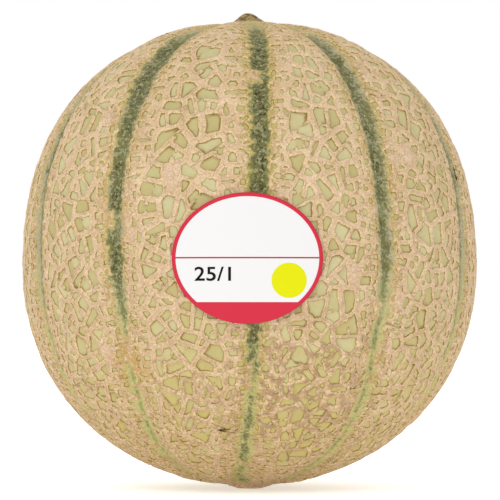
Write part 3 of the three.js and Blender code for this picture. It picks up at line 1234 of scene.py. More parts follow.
    def _strand(self, key: tuple[int, int], kinds: set[CellKind]) -> Strand:
        """Makes the strand on one side, with the points that bend it.

        Args:
            key: Its two corners.
            kinds: What the cells on both sides hold.

        Returns:
            The strand.
        """
        start, end = (self.pattern.corners[number] for number in key)
        length = float(np.linalg.norm(end - start)) * self.shape.equator_radius
        across = unit(np.cross(start + end, end - start))
        gap = self._gap(key, length) if kinds == {CellKind.NET} else None
        strand = Strand([], self._half_width(key, kinds), gap)
        count = 3 if gap else sum(length > least for least in self.bend_lengths)
        reach = min(self.wobble, self.wobble_share * strand.half_width)
        first, last = (self.corner_points[number] for number in key)
        surface = self.surface
        for index in range(count):
            share = (index + 1) / (count + 1)
            bend = self._stray(reach) / self.shape.equator_radius
            direction = unit(start + (end - start) * share + across * bend)
            tone = surface.tones[first] + share * (surface.tones[last] - surface.tones[first])
            depth = surface.depths[first] + share * (surface.depths[last] - surface.depths[first])
            relief = Relief.CREST
            if CellKind.SUTURE in kinds:
                depth = self._suture_depth(kinds)
            elif strand.is_sunk(share):
                depth, relief = self.floor_depth - self.floor_dome, Relief.SUNK_STRAND
            suture = self._suture_share(kinds)
            strand.points.append(surface.add(direction, depth, relief, tone, suture))
        return strand

    def _rim(self, cell: Cell) -> list[int]:
        """Points round a cell, its corners and those along its strands, anticlockwise."""
        rim = []
        for number, follower in cell.sides():
            rim.append(self.corner_points[number])
            points = self.strands[side_key(number, follower)].points
            rim += points if number < follower else points[::-1]
        return rim

    def _add_suture_cell(self, cell: Cell) -> None:
        """Closes a stretch of a suture with a rough, shallow middle."""
        depth = self._suture_depth({cell.kind})
        middle = self.surface.add(cell.centre, depth, Relief.CREST, self.rng.random(), 1.0)
        self.surface.fan(self._rim(cell), middle)

    def _add_cork(self, cell: Cell) -> None:
        """Closes a cell with cork from side to side."""
        depth = self.rng.uniform(*self.crest_depths)
        middle = self.surface.add(cell.centre, depth, Relief.CREST, self.rng.random())
        self.surface.fan(self._rim(cell), middle)

    def _add_net_cell(self, cell: Cell) -> None:
        """Closes a net cell with a sunken island of skin, or with cork where there is none."""
        outline = self._island_outline(cell)
        if not outline:
            self._add_cork(cell)
            return
        tone = self.rng.random()
        east, north = local_axes(cell.centre)
        middle = np.mean([(x, y) for x, y, _ in outline], axis=0)
        floor = self.floor_depth + self._stray(self.floor_stray)

        def direction_of(place: np.ndarray) -> np.ndarray:
            """Direction of a place on the flat patch round the cell's centre."""
            across = (east * place[0] + north * place[1]) / self.shape.equator_radius
            return unit(cell.centre + across)

        shoulder: list[int] = []
        foot: list[int] = []
        for place, is_sunk in self._bent_outline(cell, outline):
            reach = math.dist(middle, place) or 1.0
            flank_share = min(self.flank / reach, self.widest_flank_share)
            foot_place = place + flank_share * (middle - place)
            depth, relief = floor - self.floor_dome, Relief.SUNK_STRAND
            if not is_sunk:
                depth = self.crest_depths[1] + self.shoulder_drop + self._stray(self.shoulder_stray)
                relief = Relief.SHOULDER
            shoulder.append(self.surface.add(direction_of(place), depth, relief, tone))
            foot_relief = Relief.FLOOR if is_sunk else Relief.FOOT
            foot.append(self.surface.add(direction_of(foot_place), floor, foot_relief, tone))
        middle_direction = direction_of(middle)
        tip = self.surface.add(middle_direction, floor - self.floor_dome, Relief.FLOOR, tone)
        self.surface.band(self._rim(cell), shoulder, middle_direction)
        self.surface.band(shoulder, foot, middle_direction)
        self.surface.fan(foot, tip)

    def _island_outline(self, cell: Cell) -> list[tuple[float, float, int]]:
        """Outline of the island of skin in a net cell, on the flat patch round its centre.

        Args:
            cell: The cell.

        Returns:
            The outline's corners, each with the number of the side after it. Empty where cork
            fills the cell.
        """
        near = float(self.pattern.nearness(cell.centre[None])[0])
        filled_share = self.filled_share + (self.filled_share_at_sutures - self.filled_share) * near
        if self.rng.random() < filled_share or self._is_bare(cell.centre):
            return []
        strands = [self.strands[side_key(*side)] for side in cell.sides()]
        insets = np.array(
            [self.open_inset if strand.gap else strand.half_width for strand in strands]
        )
        flat = self.pattern.flattened(cell)
        sides = np.linalg.norm(np.roll(flat, -1, axis=0) - flat, axis=1)
        room = 2.0 * self.widest_inset_share * polygon_area(flat)
        share = min(1.0, room / float(insets @ sides))
        outline = inset_polygon(flat, [share * inset for inset in insets])
        if not outline or polygon_area(np.array(outline)[:, :2]) < self.least_island:
            return []
        return self._blunted(outline)

    def _is_bare(self, direction: np.ndarray) -> bool:
        """Whether a direction lies in a stretch beside a suture that has nothing but cork."""
        nearest = int(np.round(self.shape.suture_turns(direction[None])[0])) % self.shape.lobe_count
        gap = float(self.shape.suture_gaps(direction[None])[0])
        height = float(self.shape.points(direction[None], np.zeros(1))[0, 2])
        return any(
            suture == nearest and 0.0 < gap / reach < 1.0 and low < height < high
            for suture, reach, low, high in self.bare_stretches
        )

    def _blunted(self, outline: list[tuple[float, float, int]]) -> list[tuple[float, float, int]]:
        """Cuts off an outline's sharp corners.

        Args:
            outline: The outline's corners, each with the number of the side after it.

        Returns:
            The outline with two corners for each sharp one.
        """
        blunted = []
        for place, (x, y, side) in enumerate(outline):
            corner = np.array((x, y))
            before = np.array(outline[place - 1][:2]) - corner
            after = np.array(outline[(place + 1) % len(outline)][:2]) - corner
            reaches = [float(np.linalg.norm(way)) or 1.0 for way in (before, after)]
            turn = math.acos(np.clip(before @ after / math.prod(reaches), -1.0, 1.0))
            if turn > self.sharp_corner:
                blunted.append((x, y, side))
                continue
            cut = self.blunt_reach / math.tan(max(turn, self.sharpest_corner) / 2.0)
            first, second = (
                corner + way * min(cut / reach, self.blunt_share)
                for way, reach in zip((before, after), reaches)
            )
            blunted += [(*first, side), (*second, side)]
        return blunted

    def _bent_outline(
        self, cell: Cell, outline: list[tuple[float, float, int]]
    ) -> list[tuple[np.ndarray, bool]]:
        """Adds bends to an island's longer sides.

        Args:
            cell: The cell.
            outline: The island's corners, each with the number of the side after it.

        Returns:
            Points round the island, each with whether the strand beside it is sunk.
        """
        points = []
        for place, (x, y, side) in enumerate(outline):
            start, end = np.array((x, y)), np.array(outline[(place + 1) % len(outline)][:2])
            points.append((start, False))
            number, follower = cell.sides()[side]
            strand = self.strands[side_key(number, follower)]
            length = math.dist(start, end)
            count = 2 if strand.gap else sum(length > least for least in self.bend_lengths)
            reach = min(self.wobble, self.wobble_share * strand.half_width)
            for index in range(count if length > self.least_bent_length else 0):
                share = (index + 1) / (count + 1)
                bend = self._stray(reach) / length
                across = np.array((start[1] - end[1], end[0] - start[0])) * bend
                is_sunk = strand.is_sunk(share if number < follower else 1.0 - share)
                points.append((start + share * (end - start) + across, is_sunk))
        return points

    def _add_rings(
        self,
        cell: Cell,
        profile: tuple[tuple[float, float, float], ...],
        middle: Pair,
        segments: int,
        roughness: float,
    ) -> None:
        """Closes an end cell with level rings of points and a cap.

        Args:
            cell: The end cell.
            profile: Radius, height and share of the stub of each ring, from the outside in. The
                last one's radius is 0.
            middle: Where the rings' middle lies, along x and y.
            segments: Points round each ring.
            roughness: How far the flutes stray from a ring's radius, as a share of it.
        """
        axis = cell.centre
        side = math.copysign(1.0, axis[2])
        flutes = self.rng.uniform(-1.0, 1.0, segments)
        outer = self._rim(cell)
        for radius, height, stub_share in profile[:-1]:
            ring = []
            for segment in range(segments):
                turn = 2.0 * math.pi * segment / segments * side
                stray = flutes[segment] + self._stray(self.ring_stray)
                reach = radius * (1.0 + roughness * stray)
                x, y = reach * math.cos(turn), reach * math.sin(turn)
                spoke = unit(axis + np.array((x, y, 0.0)) / self.shape.equator_radius)
                point = (middle[0] + x + self.stub_lean * stub_share, middle[1] + y, height)
                ring.append(self.surface.place(spoke, point, self.rng.random(), stub_share))
            self.surface.band(outer, ring, axis)
            outer = ring
        _, height, stub_share = profile[-1]
        tip_place = (middle[0] + self.stub_lean * stub_share, middle[1], height)
        tip = self.surface.place(axis, tip_place, 0.5, stub_share)
        self.surface.fan(outer, tip)

    def _add_stub(self, cell: Cell) -> None:
        """Adds the dry, bell-shaped stem stub."""
        crown = self.shape.equator_height + self.shape.crown_rise
        top = self.shape.leaned(cell.centre[None])[0] * self.shape.crown_rise
        profile = tuple((radius, crown + rise, share) for radius, rise, share in STUB_PROFILE)
        self._add_rings(cell, profile, (top[0], top[1]), self.stub_segments, self.stub_roughness)

    def _add_scar(self, cell: Cell) -> None:
        """Adds the flat blossom scar that the melon rests on."""
        self._add_rings(cell, SCAR_PROFILE, (0.0, 0.0), self.scar_segments, self.scar_roughness)


@dataclass
class PaperLabel:
    """Oval sticker on the melon's front: a thin sheet with a printed face, and its numerals."""

    shape: MelonShape
    half_width: float = 21.8
    half_height: float = 18.9
    centre_x: float = -0.6
    centre_z: float = 69.8
    gap: float = 0.3
    thickness: float = 0.16
    segments: int = 120
    rings: int = 26
    numerals: str = "25/1"
    numeral_size: Pair = (10.5, 4.1)
    numeral_place: Pair = (-15.8, 63.2)
    numeral_boldness: float = 0.014
    numeral_spacing: float = 1.03
    numeral_steps: int = 6
    ink_height: float = 0.05

    def build(self) -> bpy.types.Object:
        """Builds the sheet.

        Returns:
            The piece.
        """
        points: list[np.ndarray] = []
        faces: list[tuple[int, ...]] = []
        turns = np.arange(self.segments) * 2.0 * math.pi / self.segments
        loops = []
        for height, side in ((self.gap, -1), (self.gap + self.thickness, 1)):
            start = sum(len(block) for block in points)
            for ring in range(self.rings, 0, -1):
                share = ring / self.rings
                x = self.centre_x + share * self.half_width * np.cos(turns)
                z = self.centre_z + share * self.half_height * np.sin(turns)
                points.append(self._on_rind(x, z, height))
            middle = self._on_rind(np.array([self.centre_x]), np.array([self.centre_z]), height)
            points.append(middle)
            for ring in range(self.rings - 1):
                base = start + ring * self.segments
                for segment in range(self.segments):
                    after = (segment + 1) % self.segments
                    quad = (base + segment, base + after)
                    quad += (base + self.segments + after, base + self.segments + segment)
                    faces.append(quad[::side])
            base = start + (self.rings - 1) * self.segments
            tip = start + self.rings * self.segments
            for segment in range(self.segments):
                triangle = (base + segment, base + (segment + 1) % self.segments, tip)
                faces.append(triangle[::side])
            loops.append(start)
        inner, outer = loops
        for segment in range(self.segments):
            after = (segment + 1) % self.segments
            faces.append((inner + segment, inner + after, outer + after, outer + segment))
        piece = mesh_piece("paper_label", np.concatenate(points), faces)
        LOG.info("paper_label: %d faces", len(faces))
        return piece

    def _on_rind(self, x: np.ndarray, z: np.ndarray, height: float) -> np.ndarray:
        """Points over places seen from the front, at a height over the highest strands."""
        return np.stack([x, self.shape.front_depth(x, z, height), z], axis=-1)

    def build_numerals(self) -> bpy.types.Object:
        """Builds the numerals as a film of ink on the label's face.

        Returns:
            The piece.
        """
        curve = bpy.data.curves.new("label_numerals", "FONT")
        curve.body = self.numerals
        curve.size = 1.0
        curve.resolution_u = self.numeral_steps
        curve.offset = self.numeral_boldness
        curve.space_character = self.numeral_spacing
        text = bpy.data.objects.new("label_numerals_text", curve)
        bpy.context.scene.collection.objects.link(text)
        depsgraph = bpy.context.evaluated_depsgraph_get()
        flat = bpy.data.meshes.new_from_object(text.evaluated_get(depsgraph))
        bpy.data.objects.remove(text)
        places = np.array([vert.co[:2] for vert in flat.vertices])
        places = (places - places.min(axis=0)) / np.ptp(places, axis=0) * self.numeral_size
        x, z = (places + self.numeral_place).T
        points = self._on_rind(x, z, self.gap + self.thickness + self.ink_height)
        faces = [tuple(face.vertices) for face in flat.polygons]
        return mesh_piece("label_numerals", points, faces)


def linear(hex_colour: str) -> tuple[float, float, float, float]:
    """Turns an sRGB hex colour to the linear colour that shaders take.

    Args:
        hex_colour: The colour, such as "#c8ae7c".

    Returns:
        Red, green, blue and an alpha of 1.
    """
    channels = [int(hex_colour[start : start + 2], 16) / 255.0 for start in (1, 3, 5)]
    red, green, blue = (
        channel / 12.92 if channel <= 0.04045 else ((channel + 0.055) / 1.055) ** 2.4
        for channel in channels
    )
    return red, green, blue, 1.0


@dataclass(frozen=True)
class Clouds:
    """Cloudy patches of a surface.

    They have a size in millimetres, the level of the noise, from 0 to 1, that they start at, the
    level that they are full at, and a number of finer layers.
    """

    size: float
    start: float
    full: float
    detail: float = 3.0


class MaterialTree:
    """A new material's node tree."""

    def __init__(self, name: str) -> None:
        """Starts a material with an empty tree.

        Args:
            name: The material's name.
        """
        self.material = bpy.data.materials.new(name)
        self.material.use_nodes = True
        self.tree = self.material.node_tree
        self.tree.nodes.clear()
        self.place = self.add("TexCoord", output="Object")

    def add(
        self, kind: str, *feeds: object, output: str = "", **settings: object
    ) -> bpy.types.NodeSocket | None:
        """Adds a node with its settings and links.

        Args:
            kind: The node's type, without the word ShaderNode.
            *feeds: What goes into its sockets in turn: another node's socket, or a value.
            output: Name of the socket to return, where that isn't its first one.
            **settings: More sockets, by name with _ for a space, and the node's own settings.

        Returns:
            The socket that the node's result comes out of, if it has one.
        """
        node = self.tree.nodes.new(f"ShaderNode{kind}")
        fed = []
        for name, value in settings.items():
            if name.replace("_", " ") in node.inputs:
                fed.append((node.inputs[name.replace("_", " ")], value))
            else:
                setattr(node, name, value)
        fed += zip((socket for socket in node.inputs if socket.enabled), feeds)
        for socket, feed in fed:
            if isinstance(feed, bpy.types.NodeSocket):
                self.tree.links.new(feed, socket)
            else:
                socket.default_value = feed
        if output:
            return node.outputs[output]
        return next((socket for socket in node.outputs if socket.enabled), None)

    def patches(self, clouds: Clouds) -> bpy.types.NodeSocket:
        """Share of a surface that cloudy patches cover, from 0 to 1."""
        scale = 1.0 / (clouds.size * METRES_PER_MM)
        noise = self.add("TexNoise", Vector=self.place, Scale=scale, Detail=clouds.detail)
        return self.add("MapRange", noise, clouds.start, clouds.full, **EASED)

    def painted(self, colour: object, over: object, *shares: object) -> bpy.types.NodeSocket:
        """Lays a colour over another, as far as all the given shares let it.

        Args:
            colour: The colour that is there, in hex or from another node.
            over: The colour to lay over it, given likewise.
            *shares: What to multiply for the share of it, each from 0 to 1.

        Returns:
            The mixed colour.
        """
        share, *others = shares
        for other in others:
            share = self.add("Math", share, other, operation="MULTIPLY")
        both = [linear(tone) if isinstance(tone, str) else tone for tone in (colour, over)]
        return self.add("Mix", share, *both, data_type="RGBA")

    def roughened(
        self, share: bpy.types.NodeSocket, size_mm: float, reach: float
    ) -> bpy.types.NodeSocket:
        """Share whose even steps are made ragged by noise.

        Args:
            share: The share.
            size_mm: Size of the raggedness.
            reach: How much of the share comes and goes.

        Returns:
            The ragged share.
        """
        noise = self.patches(Clouds(size_mm, *NOISE_SPAN))
        centred = self.add("Math", noise, 0.5, operation="SUBTRACT")
        return self.add("Math", centred, reach, share, operation="MULTIPLY_ADD")

    def finished(self, **sockets: object) -> bpy.types.Material:
        """Ends the tree in its shader.

        Args:
            **sockets: What goes into the shader's sockets, by name with _ for a space.

        Returns:
            The material.
        """
        self.add("OutputMaterial", Surface=self.add("BsdfPrincipled", **sockets))
        return self.material


@dataclass(frozen=True)
class NettedRind:
    """Cork net over melon skin, both grown, not worked.

    The cork is dry and matt, with a fine grain and yellower rims. The skin in the islands is
    grey-green, and yellower lower down. It turns ochre where it splits at the foot of a strand,
    and that ochre is darkened as painted shade for the crease there.

    Levels are the shares between which something begins and is full, and may go on to the shares
    that come of them. Raggedness is a size and how much of a share comes and goes at it. Heights
    are where something of the lower half begins and where it is full. Sizes, heights and bump
    depths are millimetres.
    """

    cork_pale: str = "#d4bb9e"
    cork_tan: str = "#c3a783"
    cork_pink: str = "#c0a289"
    cork_rim: str = "#dac28c"
    cork_brown: str = "#957558"
    cork_amber: str = "#ba9250"
    crumb: str = "#a68a44"
    # Ochre where the skin splits at the foot of a strand, darkened as painted shade for the crease
    # there. Cracks in the cork take it too.
    split_and_shade_ochre: str = "#7f6427"
    skin_green: str = "#bbb288"
    skin_olive: str = "#ac9f6b"
    skin_yellow: str = "#b7a664"
    suture_dark: str = "#383815"
    suture_mid: str = "#6e6c47"
    suture_moss: str = "#7c7a3c"
    suture_pale: str = "#92906b"
    suture_speck: str = "#c2bf9a"
    suture_border: str = "#938f50"
    stripe: str = "#b9b276"
    stripe_grey: str = "#aca281"
    stripe_line: str = "#727a48"
    fringe: str = "#afa055"
    stub_tan: str = "#a08555"
    stub_dark: str = "#57452a"
    collar: str = "#b2a878"
    roughness: float = 0.75
    gloss: float = 0.15
    grain: Clouds = Clouds(0.5, 0.25, 0.75, 4.0)
    mottle: Clouds = Clouds(0.8, 0.3, 0.7)
    cork_clouds: Clouds = Clouds(7.0, 0.36, 0.66)
    pink_clouds: Clouds = Clouds(2.4, 0.36, 0.6)
    rust_clouds: Clouds = Clouds(2.4, 0.45, 0.62)
    amber_clouds: Clouds = Clouds(2.0, 0.35, 0.6)
    yellow_clouds: Clouds = Clouds(4.0, 0.25, 0.65)
    split_and_shade_clouds: Clouds = Clouds(2.5, 0.4, 0.7)
    fringe_clouds: Clouds = Clouds(1.6, 0.25, 0.55)
    mid_clouds: Clouds = Clouds(0.8, 0.4, 0.52)
    moss_clouds: Clouds = Clouds(4.0, 0.45, 0.65)
    pale_clouds: Clouds = Clouds(1.1, 0.52, 0.6)
    border_clouds: Clouds = Clouds(1.4, 0.4, 0.6)
    specks: Clouds = Clouds(0.55, 0.68, 0.76, 1.0)
    stub_spots: Clouds = Clouds(1.3, 0.42, 0.62, 4.0)
    grain_depth: float = 0.13
    mottle_depth: float = 0.3
    split_and_shade_raggedness: Pair = (7.0, 0.1)
    cork_raggedness: Pair = (0.5, 0.3)
    rim_raggedness: Pair = (1.2, 0.07)
    edge_raggedness: tuple[Pair, ...] = ((2.0, 0.4), (0.8, 0.4))
    shade_raggedness: tuple[Pair, ...] = ((5.0, 0.5), (0.8, 0.5))
    line_raggedness: Pair = (1.4, 0.3)
    collar_raggedness: Pair = (1.5, 0.7)
    split_and_shade_levels: tuple[float, ...] = (0.2, 0.32)
    cork_levels: tuple[float, ...] = (0.37, 0.5)
    rim_levels: tuple[float, ...] = (0.84, 0.7)
    fringe_levels: tuple[float, ...] = (0.0, 0.5)
    suture_levels: tuple[float, ...] = (0.32, 0.62)
    border_levels: tuple[float, ...] = (0.9, 0.45, 0.0, 0.8)
    line_levels: tuple[float, ...] = (0.4, 0.9, 0.0, 0.8)
    dark_levels: tuple[float, ...] = (0.55, 1.0)
    collar_levels: tuple[float, ...] = (0.4, 0.7, 0.0, 0.85)
    stub_levels: tuple[float, ...] = (0.02, 0.12)
    tan_levels: tuple[float, ...] = (0.2, 0.42)
    pink_heights: Pair = (150.0, 20.0)
    crumb_heights: Pair = (62.0, 0.0)
    yellow_heights: Pair = (62.0, 22.0)
    stripe_heights: Pair = (75.0, 40.0)
    tone_share: float = 0.55
    rim_share: float = 0.5
    rust_share: float = 0.6
    amber_share: float = 0.75
    crumb_shares: Pair = (0.62, 0.04)
    crack_share: float = 0.38
    split_and_shade_tan_share: float = 0.55
    moss_share: float = 0.45
    suture_core: float = 0.4
    crumb_lines: Pair = (1.7, 0.08)
    crack_lines: Pair = (4.0, 0.02)
    cork_speckle: Pair = (0.5, 0.42)
    skin_speckle: Pair = (1.2, 0.08)
    stripe_speckle: Pair = (1.2, 0.2)

    def material(self) -> bpy.types.Material:
        """Makes the material.

        Returns:
            The material.
        """
        tree = MaterialTree("netted_rind")
        relief, suture, stub, fringe, collar = (
            tree.add("Attribute", attribute_name=name)
            for name in ("relief", "suture", "stub", "fringe", "collar")
        )
        # Painted shade: the ring at the foot of each strand takes the ochre of skin splits,
        # darkened for the shade in the crease.
        flank = tree.roughened(relief, *self.split_and_shade_raggedness)
        in_split_and_shade = tree.add("MapRange", flank, *self.split_and_shade_levels, **EASED)
        strand = tree.roughened(relief, *self.cork_raggedness)
        in_cork = tree.add("MapRange", strand, *self.cork_levels, **EASED)
        colour = tree.painted(self._skin(tree), self._split_and_shade_colour(tree), in_split_and_shade)
        colour = tree.painted(colour, self._cork(tree), in_cork)
        edge = suture
        for size, reach in self.edge_raggedness:
            edge = tree.roughened(edge, size, reach)
        by_suture = tree.add("MapRange", edge, *self.fringe_levels, **EASED)
        clouds = tree.patches(self.fringe_clouds)
        colour = tree.painted(colour, self.fringe, by_suture, fringe, clouds)
        in_suture = tree.add("MapRange", edge, *self.suture_levels, **EASED)
        colour = tree.painted(colour, self._suture(tree, edge), in_suture)
        collar = tree.roughened(collar, *self.collar_raggedness)
        collar = tree.add("MapRange", collar, *self.collar_levels)
        on_stub = tree.add("MapRange", stub, *self.stub_levels)
        on_stub = tree.add("Math", on_stub, collar, operation="MAXIMUM")
        colour = tree.painted(colour, self._stub(tree, stub), on_stub)

        normal = None
        for clouds, share, depth in (
            (self.grain, in_cork, self.grain_depth),
            (self.mottle, suture, self.mottle_depth),
        ):
            height = tree.add("Math", tree.patches(clouds), share, operation="MULTIPLY")
            under = {"Normal": normal} if normal else {}
            normal = tree.add("Bump", Height=height, Distance=depth * METRES_PER_MM, **under)
        return tree.finished(
            Base_Color=colour,
            Roughness=self.roughness,
            Specular_IOR_Level=self.gloss,
            Normal=normal,
        )

    def _cork(self, tree: MaterialTree) -> bpy.types.NodeSocket:
        """Colour of the strands: pale tan, pinker lower down, with rust, amber and cracks."""
        tone, near, rust, amber, relief = (
            tree.add("Attribute", attribute_name=name)
            for name in ("tone", "near", "rust", "amber", "relief")
        )
        colour = tree.painted(self.cork_pale, self.cork_tan, tree.patches(self.cork_clouds))
        colour = tree.painted(colour, self.cork_tan, tone, self.tone_share)
        lower = self._lower_share(tree, *self.pink_heights)
        colour = tree.painted(colour, self.cork_pink, lower, tree.patches(self.pink_clouds))
        rim = tree.roughened(relief, *self.rim_raggedness)
        rim = tree.add("MapRange", rim, *self.rim_levels, **EASED)
        colour = tree.painted(colour, self.cork_rim, rim, self.rim_share)
        clouds = tree.patches(self.rust_clouds)
        colour = tree.painted(colour, self.cork_brown, rust, clouds, self.rust_share)
        clouds = tree.patches(self.amber_clouds)
        colour = tree.painted(colour, self.cork_amber, amber, clouds, self.amber_share)
        lower = self._lower_share(tree, *self.crumb_heights)
        share = tree.add("Math", near, lower, operation="MAXIMUM")
        share = tree.add("Math", share, *self.crumb_shares, operation="MULTIPLY_ADD")
        crumbs = self._squiggles(tree, *self.crumb_lines)
        colour = tree.painted(colour, self.crumb, crumbs, share)
        # The cracks take the same ochre, so they carry its painted shade as well.
        cracks = self._squiggles(tree, *self.crack_lines)
        colour = tree.painted(colour, self.split_and_shade_ochre, cracks, self.crack_share)
        return self._speckled(tree, colour, *self.cork_speckle)

    def _skin(self, tree: MaterialTree) -> bpy.types.NodeSocket:
        """Colour of the islands: grey-green to olive, yellower lower down and near sutures."""
        tone = tree.add("Attribute", attribute_name="tone")
        fringe = tree.add("Attribute", attribute_name="fringe")
        colour = tree.painted(self.skin_green, self.skin_olive, tone)
        lower = self._lower_share(tree, *self.yellow_heights)
        colour = tree.painted(colour, self.skin_yellow, lower, tree.patches(self.yellow_clouds))
        colour = tree.painted(colour, self.fringe, fringe)
        return self._speckled(tree, colour, *self.skin_speckle)

    def _split_and_shade_colour(self, tree: MaterialTree) -> bpy.types.NodeSocket:
        """Colour at the foot of a strand: ochre of skin splits with painted shade, paler in places.
        """
        clouds = tree.patches(self.split_and_shade_clouds)
        return tree.painted(self.split_and_shade_ochre, self.cork_tan, clouds, self.split_and_shade_tan_share)

    def _suture(self, tree: MaterialTree, edge: bpy.types.NodeSocket) -> bpy.types.NodeSocket:
        """Colour of a suture: mottled dark olive with a few pale specks, or a pale stripe.

        Args:
            tree: The material's tree.
            edge: How far inside the suture's ragged edge a place lies.

        Returns:
            The colour.
        """
        darkness, middle, suture = (
            tree.add("Attribute", attribute_name=name)
            for name in ("darkness", "middle", "suture")
        )
        border = tree.add("MapRange", edge, *self.border_levels)
        dark = self.suture_dark
        for over, clouds, shares in (
            (self.suture_mid, self.mid_clouds, ()),
            (self.suture_moss, self.moss_clouds, (self.moss_share,)),
            (self.suture_pale, self.pale_clouds, ()),
            (self.suture_border, self.border_clouds, (border,)),
            (self.suture_speck, self.specks, ()),
        ):
            dark = tree.painted(dark, over, tree.patches(clouds), *shares)
        line = tree.roughened(middle, *self.line_raggedness)
        line = tree.add("MapRange", line, *self.line_levels, **EASED)
        lower = self._lower_share(tree, *self.stripe_heights)
        stripe = tree.painted(self.stripe_grey, self.stripe, lower)
        stripe = tree.painted(stripe, self.stripe_line, line)
        stripe = self._speckled(tree, stripe, *self.stripe_speckle)
        shade = tree.add("Math", suture, self.suture_core, darkness, operation="MULTIPLY_ADD")
        for size, reach in self.shade_raggedness:
            shade = tree.roughened(shade, size, reach)
        share = tree.add("MapRange", shade, *self.dark_levels, **EASED)
        return tree.painted(stripe, dark, share)

    def _stub(self, tree: MaterialTree, stub: bpy.types.NodeSocket) -> bpy.types.NodeSocket:
        """Colour of the stem stub: a pale green collar, then dry tan with dark spots."""
        dry = tree.painted(self.stub_tan, self.stub_dark, tree.patches(self.stub_spots))
        share = tree.add("MapRange", stub, *self.tan_levels)
        return tree.painted(self.collar, dry, share)

    def _lower_share(self, tree: MaterialTree, high: float, low: float) -> bpy.types.NodeSocket:
        """Number that grows from 0 to 1 down the melon, between two heights in millimetres."""
        height = tree.add("SeparateXYZ", tree.place, output="Z")
        return tree.add("MapRange", height, high * METRES_PER_MM, low * METRES_PER_MM)

    def _squiggles(self, tree: MaterialTree, size_mm: float, width: float) -> bpy.types.NodeSocket:
        """Thin wandering lines, where a noise of a real size passes through its middle level."""
        noise = tree.patches(Clouds(size_mm, 0.0, 1.0, 2.0))
        return tree.add("Math", noise, 0.5, width, operation="COMPARE")

    def _speckled(
        self, tree: MaterialTree, colour: bpy.types.NodeSocket, size_mm: float, reach: float
    ) -> bpy.types.NodeSocket:
        """Colour made lighter and darker by a fine noise, by up to reach in all."""
        noise = tree.patches(Clouds(size_mm, *NOISE_SPAN))
        share = tree.add("Math", noise, reach, 1.0 - reach / 2.0, operation="MULTIPLY_ADD")
        white = tree.add("CombineXYZ", share, share, share)
        return tree.add("VectorMath", colour, white, operation="MULTIPLY")


@dataclass(frozen=True)
class PrintedPaper:
    """Coated label paper, printed in flat inks. It is smooth, bright and slightly glossy."""

    paper: str = "#d6d5d5"
    red: str = "#bf2a3e"
    yellow: str = "#cdcd00"
    roughness: float = 0.45
    gloss: float = 0.12
    rim_width: float = 1.1
    rule: str = "#98334a"
    rule_width: float = 0.44
    rule_rise: float = 0.1
    foot_rise: float = -12.65
    dot_place: Pair = (12.0, -6.4)
    dot_radius: float = 5.08
    depth_reach: float = 1000.0

    def material(self, label: PaperLabel) -> bpy.types.Material:
        """Makes the material.

        Args:
            label: The label, whose sizes the print follows.

        Returns:
            The material.
        """
        tree = MaterialTree("printed_paper")
        centre = (label.centre_x, 0.0, label.centre_z)
        place = tree.add("VectorMath", tree.place, operation="SCALE", Scale=1.0 / METRES_PER_MM)
        place = tree.add("VectorMath", place, centre, operation="SUBTRACT")
        rise = tree.add("SeparateXYZ", place, output="Z")
        width = self.rim_width
        inner = (label.half_width - width, self.depth_reach, label.half_height - width)
        spread = tree.add("VectorMath", place, inner, operation="DIVIDE")
        spread = tree.add("VectorMath", spread, operation="LENGTH", output="Value")
        rim = tree.add("Math", spread, 1.0, operation="GREATER_THAN")
        foot = tree.add("Math", rise, self.foot_rise, operation="LESS_THAN")
        rule = tree.add("Math", rise, self.rule_rise, self.rule_width / 2.0, operation="COMPARE")
        red = tree.add("Math", rim, foot, operation="MAXIMUM")
        flat = tree.add("VectorMath", place, (1.0, 0.0, 1.0), operation="MULTIPLY")
        middle = (self.dot_place[0], 0.0, self.dot_place[1])
        reach = tree.add("VectorMath", flat, middle, operation="DISTANCE", output="Value")
        dot = tree.add("Math", reach, self.dot_radius, operation="LESS_THAN")
        colour = tree.painted(self.paper, self.rule, rule)
        colour = tree.painted(colour, self.red, red)
        colour = tree.painted(colour, self.yellow, dot)
        return tree.finished(
            Base_Color=colour, Roughness=self.roughness, Specular_IOR_Level=self.gloss
        )


@dataclass(frozen=True)
class PrintInk:
    """Black printing ink in a thin film, matt as offset ink dries, with a little grain."""

    black: str = "#0b090b"
    worn: str = "#141214"
    grain: Clouds = Clouds(0.4, 0.4, 0.7)
    roughness: float = 0.6
    gloss: float = 0.1

    def material(self) -> bpy.types.Material:
        """Makes the material."""
        tree = MaterialTree("print_ink")
        colour = tree.painted(self.black, self.worn, tree.patches(self.grain))
        return tree.finished(
            Base_Color=colour, Roughness=self.roughness, Specular_IOR_Level=self.gloss
        )


